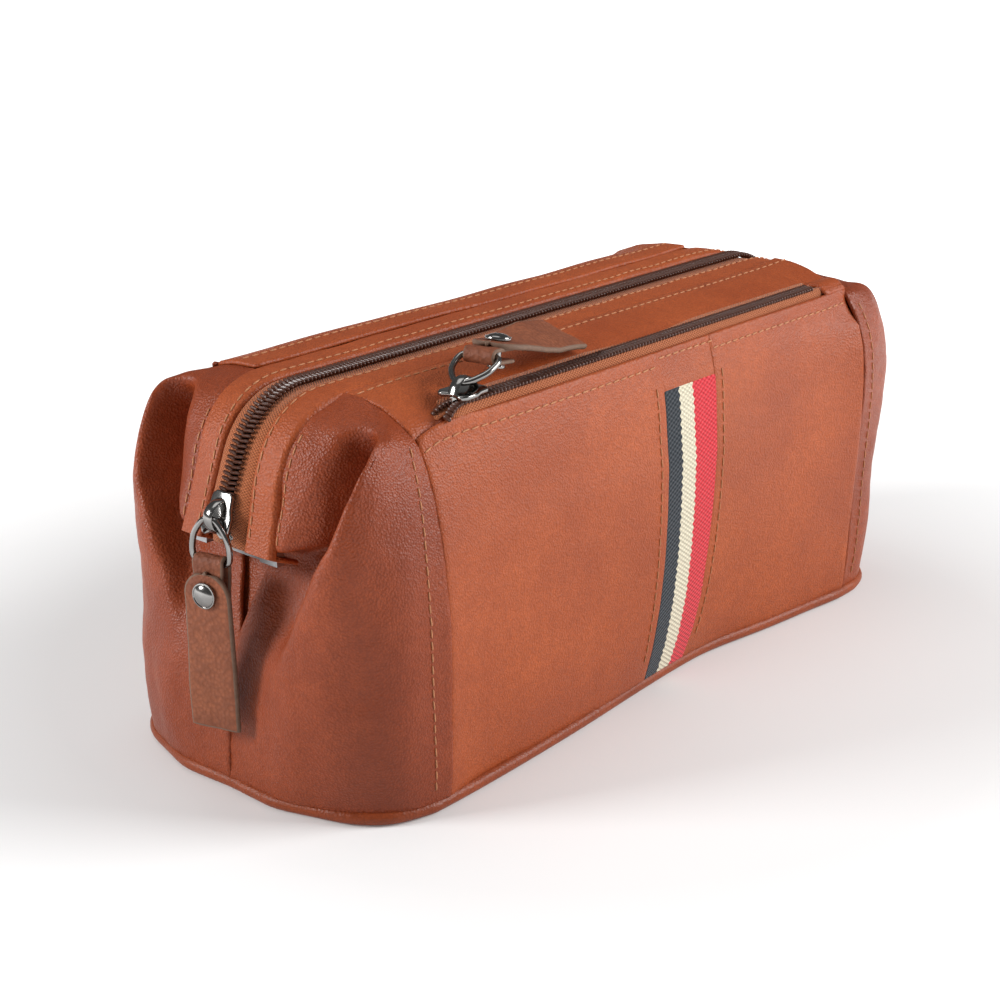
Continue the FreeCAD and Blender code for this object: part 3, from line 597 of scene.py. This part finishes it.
def gussets():
    base = np.array(GUSSET, float)
    for side_x, end in ((-1, "left"), (1, "right")):
        for side_y, face in ((-1, "front"), (1, "back")):
            control = base.copy()
            if side_x > 0:
                for row in control:
                    shift = -seam_y(row[7][2], True) - row[7][1]
                    for k, share in ((7, 1.0), (6, 0.7), (5, 0.25)):
                        row[k][1] += shift * share if row[7][2] < 112 else 0
            if side_x < 0 < side_y:
                row_share = np.array((0, 0.15, 0.4, 0.8, 1, 1, 1, 1, 1, 1, 1, 0.8, 0.3, 0))
                control[..., 0] += row_share[:, None] * (0, 0, 0.6, 2.4, 4.8, 4.2, 2, 0)
            control[..., 0] *= -side_x
            control[..., 1] *= -side_y
            grid = surface(control, 130, 98)
            flip = side_x * side_y < 0
            work = grid[:, ::-1] if flip else grid
            work = wrinkle(work, 17, 0.8, 20 + 3 * side_x + side_y, (1, 1, 0.45))
            work = wrinkle(work, 5.5, 0.2, 31 + 3 * side_x + side_y)
            name = f"gusset_{end}_{face}_leather"
            piece = shell(name, work, 1.5, [SHADED_SIDE])
            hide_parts(f"gusset_{end}_{face}")
            column = work[:, 5] if flip else work[:, -6]
            outward = normals(work)[:, 5] if flip else normals(work)[:, -6]
            line = stitches(f"gusset_{end}_{face}_stitches", column[3:-18], outward[3:-18])
            inner = work[:, -7] if flip else work[:, 6]
            inner_out = normals(work)[:, -7] if flip else normals(work)[:, 6]
            seam = stitches(f"gusset_{end}_{face}_strip_seam", inner[80:-16], inner_out[80:-16])
            for part in (piece, line, seam):
                bend(part)
        heights = ((38, 130.4), (50, 127.2), (60, 123.6), (70, 120.8), (85, 118.5), (98, 116.5))
        pleat = np.array([[(side_x * x, y, z) for y in np.linspace(-15, 15, 9)] for z, x in heights])
        pleat[..., 0] += side_x * 0.012 * pleat[..., 1] ** 2 * -1  # bowed towards the middle of the bag
        grid = surface(pleat, 30, 24)
        if side_x < 0:
            grid = grid[:, ::-1]
        piece = shell(f"gusset_{end}_pleat", grid, 1.2, [SHADED_SIDE, LINING])
        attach(piece, "bag")


# ---------------------------------------------------------------- mouth

def route(count=200):
    """Centre line of the main zip and its outward normal, from the left foot to the right one."""
    points, out = [], []
    def put(x, z, nx, nz):
        points.append((x, z))
        out.append((nx, nz))
    leg_n = (-math.cos(LEAN), math.sin(LEAN))
    foot_x = -(FLAT + RADIUS * math.cos(LEAN) + LEG * math.sin(LEAN))
    foot_z = TOP - RADIUS + RADIUS * math.sin(LEAN) - LEG * math.cos(LEAN)
    for k in range(14):
        s = LEG * k / 14
        put(foot_x + s * math.sin(LEAN), foot_z + s * math.cos(LEAN), *leg_n)
    for k in range(22):
        a = math.pi - LEAN - (math.pi / 2 - LEAN) * k / 22
        put(-FLAT + RADIUS * math.cos(a), TOP - RADIUS + RADIUS * math.sin(a), math.cos(a), math.sin(a))
    for k in range(31):
        put(-FLAT + FLAT * k / 30, TOP, 0, 1)
    points, out = np.array(points), np.array(out)
    mirror = points[-2::-1] * (-1, 1), out[-2::-1] * (-1, 1)
    points, out = np.concatenate([points, mirror[0]]), np.concatenate([out, mirror[1]])
    steps = np.concatenate([[0], np.cumsum(np.linalg.norm(np.diff(points, axis=0), axis=1))])
    at = np.linspace(0, steps[-1], count)
    points = np.stack([np.interp(at, steps, points[:, k]) for k in range(2)], axis=-1)
    out = np.stack([np.interp(at, steps, out[:, k]) for k in range(2)], axis=-1)
    return points, unit(out), at, steps[-1]


def sweep(side, profile_at, count):
    """A grid along the route: profile_at(s, total) gives rows of (y, offset)."""
    points, out, at, total = route(count)
    grid = []
    for (x, z), (nx, nz), s in zip(points, out, at):
        grid.append([(x + nx * n, side * y, z + nz * n) for y, n in profile_at(s, total)])
    return np.array(grid)


FOOT_S = (0, 10, 20, 40, 60)
NEAR, FAR = (9.1, 8.2, 7.3, 7.3, 7.8), (18.8, 17.8, 17.0, 17.8, 19.0)
NEAR_OUT, FAR_OUT = (-2.6, -1.9, -0.7, 0, 0), (-4.2, -3.2, -1.4, -0.3, -0.2)


def by_foot(table, s, total):
    """A size that changes with the distance from the nearer foot of the mouth."""
    return float(np.interp(min(s, total - s), FOOT_S, table))


def strip_profile(s, total):
    near, far = by_foot(NEAR, s, total), by_foot(FAR, s, total)
    near_out, far_out = by_foot(NEAR_OUT, s, total), by_foot(FAR_OUT, s, total)
    rows = []
    for t in np.linspace(0, 1, 18):
        edge = min(1, t * 8)
        crown = 0.6 * math.sqrt(1 - (1 - edge) ** 2) + 0.3 * math.sin(math.pi * t) ** 0.8
        dip = -1.3 * max(0, (t - 0.88) / 0.12) ** 2
        rows.append((near + (far - near) * t, near_out + (far_out - near_out) * t + crown + dip - 0.3))
    return rows


def mouth():
    for side, name in ((-1, "front"), (1, "back")):
        body = f"{name}_frame"
        grid = sweep(side, strip_profile, 260)
        inward = np.array((math.cos(LEAN), 0, -math.sin(LEAN)))
        left_foot = [grid[0] + inward * depth for depth in (8.5, 4.5, 1.2)]
        right_foot = [grid[-1] + inward * (-depth, 0, depth) for depth in (1.2, 4.5, 8.5)]
        grid = np.concatenate([left_foot, grid, right_foot])
        if side > 0:
            grid = grid[:, ::-1]
        grid = wrinkle(grid, 12, 0.3, 41 + side)
        strip = shell(f"{name}_mouth_strip", grid, 1.5, [SKIN])
        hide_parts(f"{name}_strip")
        column = 3 if side < 0 else -4
        line = stitches(f"{name}_strip_stitches", grid[6:-6, column], normals(grid)[6:-6, column])
        section = ((10.0, -4.4), (10.0, -6), (10.4, -8.8), (13, -9.2), (15.8, -8.8), (16, -7), (15.8, -5.8))
        casing = surface(sweep(side, lambda s, t, rows=section: rows, 200)[6:-6], 180, 20)
        if side > 0:
            casing = casing[:, ::-1]
        casing = shell(f"{name}_frame_casing", casing, 0.7, [LINING])
        tape = sweep(side, tape_profile, 320)
        tape = surface(tape, 320, 14)
        if side > 0:
            tape = tape[:, ::-1]
        tape = shell(f"{name}_zip_tape_cloth", tape, 0.6, [TAPE], 1)
        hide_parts(f"{name}_zip_tape")
        teeth = zip_teeth(f"{name}_zip_teeth", side)
        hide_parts(f"{name}_zip_coil")
        for piece, slot in ((strip, "leather"), (line, "leather"), (casing, "lining"), (tape, "zip_tape"),
                            (teeth, "zip_coil")):
            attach(piece, body)
    stop = (np.array([136.4, 0, 80.0]), (0, 1, 0), 7.0, 1.0, 0.9, (1, 0, 0))
    tail = capsules("zip_bottom_stop", [stop], NICKEL, 10)
    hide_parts("zip_tail")
    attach(tail, "frame_pivots")


def tape_profile(s, total):
    near, out = by_foot(NEAR, s, total), by_foot(NEAR_OUT, s, total)
    sunk = -4.2 * max(0, 1 - min(s, total - s) / 11)
    return [(1.4, sunk - 0.9), (3.6, sunk - 0.75), (0.5 * near + 2.2, sunk - 0.8 + 0.35 * out),
            (near + 0.8, sunk - 1.2 + out), (near + 4, sunk - 1.5 + out)]


def zip_teeth(name, side):
    points, out, at, total = route(1200)
    items = []
    pitch, start, stop = 1.5, 14.0, total - 5.0
    for k in range(int((stop - start) / pitch)):
        s = start + pitch * (k + (0.25 if side < 0 else 0.75))
        x, z = (np.interp(s, at, points[:, i]) for i in range(2))
        nx, nz = (np.interp(s, at, out[:, i]) for i in range(2))
        lift = np.array((nx, 0, nz))
        along = np.array((nz, 0, -nx))
        way = np.array((0, side, 0)) + 0.16 * along
        centre = np.array((x, 0, z)) + lift * 0.35 + np.array((0, side * 1.45, 0))
        items.append((centre, way, 3.6, 0.56, 0.85, lift))
    return capsules(name, items, COIL, 6)


# ---------------------------------------------------------------- pocket zip

POCKET_Y, POCKET_Z = -43.6, 113.6


# (y, z) across the two tapes of the pocket's zip
POCKET_FRONT_TAPE = ((-47.0, 107.4), (-46.8, 109.4), (-46.6, 111.2), (-46.0, 112.6), (-45.2, 113.2),
                     (-44.4, 113.2))
POCKET_REAR_TAPE = ((-43.3, 113.1), (-41.8, 113.3), (-39.8, 113.2), (-37.8, 113.6))


def pocket_zip():
    for name, side in (("rear", 1), ("front", -1)):
        items = []
        for k in range(int(176 / 1.5)):
            x = -87 + 1.5 * (k + (0.25 if side < 0 else 0.75))
            centre = np.array((x, POCKET_Y + side * 1.15, POCKET_Z))
            items.append((centre, (0.16, side, 0), 2.9, 0.56, 0.8, (0, 0, 1)))
        for k in range(6):
            x = -87.5 - 1.15 * k
            centre = np.array((x, POCKET_Y + side * (1.5 + 0.25 * k), POCKET_Z - 0.10 * k * k))
            items.append((centre, (0.25, side, -0.1 * k), 2.6, 0.56, 0.8, (0, 0, 1)))
        teeth = capsules(f"pocket_teeth_{name}", items, COIL)
        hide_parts(f"pocket_coil_{name}")
        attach(teeth, "front_frame")
    cloths = []
    for place, left, left_drop, section, rows in (
            ("front", (-91, -87), 2.0, POCKET_FRONT_TAPE, 16),
            ("rear", (-94, -87), 2.5, POCKET_REAR_TAPE, 10)):
        run = np.linspace(left[0], 93, 60)
        drops = np.interp(run, left, (left_drop, 0))
        grid = np.array([[(x, y, z - drop) for x, drop in zip(run, drops)] for y, z in section])
        cloths.append(shell(f"pocket_tape_{place}_cloth", surface(grid, rows, 130), 0.6, [TAPE], 1))
    front, rear = cloths
    for piece, node in ((front, "pocket_tape_front"), (rear, "pocket_tape_rear")):
        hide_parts(node)
        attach(piece, "front_frame")
    section = ((-48.2, 111.4), (-45.5, 113.0), (-43.6, 113.4), (-41.5, 113.2), (-38.6, 112.8))
    end = np.array([[(x, y, z + math.cos(abs(y - POCKET_Y) / 5)) for x in np.linspace(93, 103.4, 6)]
                    for y, z in section])
    end = shell("pocket_zip_end_tab", surface(end, 12, 12), 1.6, [SKIN])
    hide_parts("pocket_end_tab")
    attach(end, "front_frame")


# ---------------------------------------------------------------- base

def base_outline(inset=0.0):
    front = [(-137.2, 0), (-137.6, -10), (-137.6, -19), (-134.5, -29.7), (-129.9, -42.4), (-122.5, -50.9),
             (-112, -55.1), (-103.4, -55.8), (-77.6, -55.0), (-43.4, -52.9), (-6.8, -49.6), (16.6, -47.9),
             (34.6, -47.9), (62, -51.4), (85, -53.6), (97.5, -55), (104, -55.2), (113, -54.4),
             (122.5, -50.5), (129.9, -42.4), (134.5, -29.7), (137.6, -19), (137.6, -10), (137.2, 0)]
    back = [(137.6, 10), (137.6, 19), (134.5, 29.7), (129.9, 42.4), (122.5, 50.9), (112, 55.1), (103.4, 55.6),
            (60, 55.2), (0, 54.8), (-60, 55.2), (-103.4, 55.6), (-112, 55.1), (-122.5, 50.9), (-129.9, 42.4),
            (-134.5, 29.7), (-137.6, 19), (-137.6, 10)]
    corners = np.array(front + back, float)
    looped = np.concatenate([corners[-2:], corners, corners[:3]])
    fine = spline(looped, 40 * (len(looped) - 1) // 4 + 1)
    share = len(fine) / (len(looped) - 1)
    fine = fine[int(2 * share):int((2 + len(corners)) * share)]
    tangent = unit(np.roll(fine, -1, axis=0) - np.roll(fine, 1, axis=0))
    outward = np.stack([tangent[:, 1], -tangent[:, 0]], axis=-1)
    return fine - outward * inset


def slab(name, outline, low, high, material, mapped=False):
    """A flat plate between two heights; mapped lays its UV map over the outline."""
    count = len(outline)
    points = [(x, y, z) for z in (low, high) for x, y in outline] + [(0, 0, low), (0, 0, high)]
    faces = []
    for i in range(count):
        j = (i + 1) % count
        faces += [[i, j, count + j, count + i], [2 * count, j, i], [2 * count + 1, count + i, count + j]]
    return build(name, points, faces, [point[:2] for point in points] if mapped else None, [material])


def base():
    line = base_outline(1.5)
    path = np.column_stack([line, np.full(len(line), 2.1)])
    angle = np.abs(path[:, 0]) <= SEAM
    names = {"piping_front": angle & (path[:, 1] < 0), "piping_back": angle & (path[:, 1] > 0),
             "piping_left": path[:, 0] < -SEAM, "piping_right": path[:, 0] > SEAM}
    for node, chosen in names.items():
        run = path[chosen]
        gaps = np.linalg.norm(np.diff(run, axis=0), axis=1)
        if gaps.max() > 20:
            cut = int(np.argmax(gaps)) + 1
            run = np.concatenate([run[cut:], run[:cut]])
        first, last = 2 * run[0] - run[1], 2 * run[-1] - run[-2]
        run = np.concatenate([[first], run, [last]])
        piece = tube(f"{node}_welt", run, 2.0, CORD)
        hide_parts(node)
        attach(piece, "bag")
    skin = slab("base_leather", base_outline(3.0), 0.6, 2.3, SKIN)
    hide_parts("base_panel")
    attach(skin, "bag")
    floor = base_outline(7.5)
    cloth = slab("lining_floor_cloth", floor, 4.2, 4.8, LINING, True)
    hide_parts("lining_base")
    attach(cloth, "bag")


def linings():
    rows, columns = 30, 50
    for side, name in ((-1, "front"), (1, "back")):
        grid = np.zeros((rows, columns, 3))
        heights = (6, 30, 60, 80, 92, 100, 105)
        outs = (47.6, 47.8, 47.6, 46.6, 44.6, 40.5, 34)
        if side > 0:
            outs = (50, 51.4, 50.6, 49.4, 46.4, 42, 34)
        profile = spline(list(zip(outs, heights)), rows)
        for c in range(columns):
            x = -101 + 202 * c / (columns - 1)
            for r in range(rows):
                grid[r, c] = (x, side * profile[r][0], profile[r][1])
        grid = wrinkle(grid, 30, 1.0, 50 + side)
        if side > 0:
            grid = grid[:, ::-1]
        cloth = shell(f"lining_{name}_cloth", grid, 0.5, [LINING], 1)
        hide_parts(f"lining_{name}")
        bend(cloth)
    for side, name in ((-1, "left"), (1, "right")):
        control = np.array([[(side * (x - 0.006 * y * y), y, z) for y in np.linspace(-40, 40, 9)]
                            for z, x in ((6, 130), (30, 129), (46, 125.5), (60, 119.8), (72, 117.0))])
        grid = surface(control, 24, 30)
        if side < 0:
            grid = grid[:, ::-1]
        cloth = shell(f"lining_{name}_cloth", grid, 0.5, [LINING], 1)
        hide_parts(f"lining_{name}")
        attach(cloth, "bag")


# ---------------------------------------------------------------- pulls

# the ring's eye in the slider, in the slider's own axes; the main slider's distance below the corner
EYE, RING_LENGTH, SLIDER_DOWN = (-1.9, 0, 4.15), 12.6, 8.2


def turn(points, axis, degrees):
    a = math.radians(degrees)
    c, s = math.cos(a), math.sin(a)
    x, y, z = np.moveaxis(np.asarray(points, float), -1, 0)
    if axis == "x":
        return np.stack([x, y * c - z * s, y * s + z * c], axis=-1)
    if axis == "y":
        return np.stack([x * c + z * s, y, -x * s + z * c], axis=-1)
    return np.stack([x * c - y * s, x * s + y * c, z], axis=-1)


def placed(origin, *turns):
    """Local points, with -x towards the free end and +z outward, put where a part of the pull sits."""
    def put(points):
        for axis, degrees in turns:
            points = turn(points, axis, degrees)
        return np.asarray(points, float) + np.asarray(origin, float)
    return put


def soften(piece, width, segments=3):
    modifier = piece.modifiers.new("edge", "BEVEL")
    modifier.width = width * MM
    modifier.segments = segments
    modifier.limit_method = "ANGLE"
    modifier.angle_limit = math.radians(35)
    bpy.context.view_layer.objects.active = piece
    bpy.ops.object.select_all(action="DESELECT")
    piece.select_set(True)
    bpy.ops.object.modifier_apply(modifier=modifier.name)
    piece.data.set_sharp_from_angle(angle=math.radians(40))


def prism(name, outline, low, high, put, material, bevel=0.35):
    count = len(outline)
    points = put(np.array([(x, y, low) for x, y in outline] + [(x, y, high) for x, y in outline]))
    faces = [list(range(count))[::-1], list(range(count, 2 * count))]
    faces += [[i, (i + 1) % count, count + (i + 1) % count, count + i] for i in range(count)]
    piece = build(name, points, faces, None, [material])
    soften(piece, bevel)
    return piece


def slider(name, put):
    half = [(6.5, 2.6), (5.4, 3.9), (2, 4.3), (-0.6, 5.4), (-4.6, 5.5), (-6.2, 4.6), (-6.5, 3.2), (-5.4, 1.3)]
    outline = [(6.5, -2.6)] + half + [(x, -y) for x, y in half[:0:-1]]
    top = prism(f"{name}_a", outline, 0.3, 1.7, put, NICKEL, 0.45)
    under = prism(f"{name}_b", [(x, 0.5 * y) for x, y in outline], -5.0, -3.9, put, NICKEL, 0.3)
    wedge = [(-1.6, 0), (-3.4, 0.55), (-5.6, 0.4), (-5.6, -0.4), (-3.4, -0.55)]
    post = prism(f"{name}_c", wedge, -4.2, 0.6, put, NICKEL, 0.1)
    arch = []
    for a in np.linspace(0, 1, 15):
        x = -5.1 + 9.3 * a
        z = 1.2 + 4.0 * math.sin(math.pi * min(1, a * 1.04)) ** 0.55
        arch.append((x, 0, z))
    arch = np.array(arch)
    cross = unit(np.gradient(arch, axis=0))
    rows = []
    for p, t in zip(arch, cross):
        n = np.array((-t[2], 0, t[0]))
        rows.append([p + np.array((0, 1.75 * math.cos(q), 0)) + n * (0.55 * math.sin(q))
                     for q in np.linspace(0, 2 * math.pi, 17)[:-1]])
    rows = np.array(rows)
    count, ring = rows.shape[:2]
    bridge = build(f"{name}_d", put(rows.reshape(-1, 3)), ring_faces(count, ring), None, [NICKEL], None, 60)
    return merge(f"{name}_body", top, under, post, bridge)


def pull(name, seat, eye, foot, slider_turns, ring_turns, tab_turns, wave, roll):
    body = slider(f"{name}_slider", placed(seat, *slider_turns))
    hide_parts(f"{name}_slider")
    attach(body, f"{name}_slider")

    put = placed(eye, *ring_turns)
    half = [(0.05, 1.2), (-0.7, 2.5), (-2.6, 4.1), (-5.2, 5.6), (-8.5, 6.3), (-11.0, 6.2), (-12.2, 5.3),
            (-RING_LENGTH, 3.4)]
    path = [(0.1, 0)] + half + [(-RING_LENGTH, 0)] + [(x, -y) for x, y in half[::-1]]
    closed = np.array(path + path[:1], float)
    fine = spline(closed, 97)[:-1]
    centre_line = put(np.column_stack([fine, np.zeros(len(fine))]))
    wire = tube(f"{name}_ring_wire", centre_line, 0.92, NICKEL, True, 12)
    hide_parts(f"{name}_ring")
    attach(wire, f"{name}_ring")

    put = placed(foot, *tab_turns)
    across = np.linspace(-4.7, 4.7, 9)
    mid = 0.85 + 0.35 + 1.2
    run = [(-11.4, mid), (-8, mid), (-4, mid + 0.05), (-1, mid)]
    run += [(mid * math.sin(a), mid * math.cos(a)) for a in np.linspace(0.15, math.pi - 0.15, 9)]
    run += [(-1, -mid), (-4, -mid - 0.05), (-8, -mid), (-11.4, -mid)]
    strap = np.array([[(x, y * (1 - 0.02 * abs(x)), z) for y in across] for x, z in run])
    strap = surface(strap, 60, 17)[:, ::-1]
    strap = wrinkle(strap, 4.0, 0.16, 61)
    loop = shell(f"{name}_pull_strap", put(strap), 1.2, [TAB, TAB, RAW])
    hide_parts(f"{name}_pull_loop")

    half, length, lift = 7.3, 48.0, 0.85 + 0.35 + 1.2 + 0.05 + 1.7
    rows = []
    round_end = -2.4 - half * (1 - np.cos(np.radians(np.linspace(9, 88, 14))))
    for x in np.concatenate([round_end, np.linspace(-2.9 - half, -length, 54)]):
        d = (-2.4 - half) - x
        wide = math.sqrt(half ** 2 - d ** 2) if d < 0 else half
        wide *= 1 + 0.03 * math.sin(x / 7.0)
        flare = 0.4 * max(0, (-x - 30) / 18) ** 2
        lean_over = math.tan(math.radians(roll)) * min(1, max(0, (-x - 12) / 20))
        row = []
        for s in np.linspace(-1, 1, 19):
            bow = wave * (math.sin(x / 8.5) + 0.6 * (s * x / 48) ** 2)
            row.append((x, s * (wide + flare), lift - lean_over * s * wide + bow - 0.25 * abs(s) ** 3))
        rows.append(row)
    flap = wrinkle(np.array(rows), 6.0, 0.22, 71)
    flap = shell(f"{name}_pull_flap", put(flap), 1.7, [TAB, TAB, RAW])
    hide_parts(f"{name}_pull_tab")

    cap_profile = [(0, 1.75), (1.2, 1.68), (2.3, 1.4), (3.1, 0.95), (3.3, 0.72), (3.45, 0.86), (3.75, 0.8),
                   (3.9, 0.5), (3.85, 0.1), (3.5, -0.05)]
    shank = [(1.3, -0.1), (1.3, -7.2), (2.6, -7.3), (2.7, -7.6), (2.6, -8.0), (0, -8.05)]
    rings, sides = cap_profile + shank, 28
    points = []
    for radius, z in rings:
        for k in range(sides):
            a = 2 * math.pi * k / sides
            points.append((-8.4 + radius * math.cos(a), radius * math.sin(a), lift + z))
    faces = [[a, d, c, b] for a, b, c, d in ring_faces(len(rings), sides)[:-2]]
    cap = build(f"{name}_pull_cap", put(points), faces, None, [NICKEL], None, 40)
    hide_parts(f"{name}_pull_rivet")
    for piece, slot in ((loop, "tab_leather"), (flap, "tab_leather"), (cap, "nickel")):
        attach(piece, f"{name}_tab")


def pulls():
    lean = math.degrees(LEAN)
    along = LEG - SLIDER_DOWN
    seat = (-(FLAT + RADIUS * math.cos(LEAN) + along * math.sin(LEAN)), 0,
            TOP - RADIUS + RADIUS * math.sin(LEAN) - along * math.cos(LEAN))
    eye = placed(seat, ("y", lean - 90))([EYE])[0]
    foot = eye + (0, 0, -RING_LENGTH)
    pull("main", seat, eye, foot, [("y", lean - 90)], [("y", -90), ("z", 12)],
         [("y", -90), ("x", -2), ("z", 12)], 0.25, 0)
    seat = (-83.0, POCKET_Y, POCKET_Z + 1.3)
    eye = np.array(seat) + EYE
    ring_turns = [("y", 158), ("z", 11)]
    foot = placed(eye, *ring_turns)([(-RING_LENGTH, 0, 0)])[0]
    tab_turns = [("z", 180), ("y", 10.5), ("z", 11)]
    pull("pocket", seat, eye, foot, [], ring_turns, tab_turns, 0.5, 20)


def cad_finishes():
    finishes = {"front_frame_bar": STEEL, "back_frame_bar": STEEL, "hinge_rivet_left": NICKEL,
                "hinge_rivet_right": NICKEL, "base_board": BOARD}
    for node, material in finishes.items():
        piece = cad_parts[node]
        piece.data.materials.clear()
        piece.data.materials.append(material)


# ---------------------------------------------------------------- stage

def studio():
    n = Nodes("pale_glowing_floor")
    tone = n.add("ShaderNodeTexNoise", Vector=n.place(), Scale=3.0).outputs[0]
    floor_material = n.finish(n.mix(tone, (0.78, 0.78, 0.78), (0.8, 0.8, 0.8)), 0.7, Specular_IOR_Level=0.0,
                              Emission_Color=(1, 1, 1, 1))
    # the floor glows, weakly near the bag and almost white further out: painted light that keeps the far
    # floor white while the lamps' shadows still show near the bag
    away = n.add("ShaderNodeVectorMath", Vector=n.place())
    away.operation = "LENGTH"
    glow = n.ramp(away.outputs["Value"], (0.16, (0.1,) * 3), (0.62, (0.95,) * 3))
    n.tree.links.new(glow, n.shader.inputs["Emission Color"])
    n.shader.inputs["Emission Strength"].default_value = 1.0
    half = 6000
    corners = [(x, y, -0.05) for x, y in ((-half, -half), (half, -half), (half, half), (-half, half))]
    floor = build("floor", corners, [[0, 1, 2, 3]], None, [floor_material])
    world = bpy.data.worlds.new("studio")
    world.use_nodes = True
    world.node_tree.nodes["Background"].inputs[0].default_value = (1, 1, 1, 1)
    world.node_tree.nodes["Background"].inputs[1].default_value = 0.14
    bpy.context.scene.world = world
    for name, place, aim, size, power in (
            ("key", (0.9, -1.1, 0.8), (0, 0, 0.05), 0.8, 27),
            ("top", (-0.1, 0.3, 1.5), (0, 0, 0.05), 1.0, 5),
            ("left", (-1.2, 0.75, 0.7), (-0.1, 0, 0.08), 0.5, 18)):
        light = bpy.data.lights.new(name, "AREA")
        light.energy, light.size = power, size
        lamp = bpy.data.objects.new(name, light)
        lamp.location = place
        lamp.rotation_euler = (Vector(aim) - Vector(place)).to_track_quat("-Z", "Y").to_euler()
        bpy.context.scene.collection.objects.link(lamp)
    camera = bpy.data.objects.new("camera", bpy.data.cameras.new("camera"))
    camera.location = (-0.48380, -0.40713, 0.27720)
    camera.rotation_euler = (math.radians(70.363), 0, math.radians(-48.816))
    camera.data.lens, camera.data.sensor_width = 73.74, 36
    camera.data.clip_start = 0.01
    bpy.context.scene.collection.objects.link(camera)
    bpy.context.scene.camera = camera
    bpy.context.scene.view_settings.view_transform = "Standard"


front_panels()
shoulders()
gussets()
mouth()
pocket_zip()
base()
linings()
pulls()
cad_finishes()
studio()
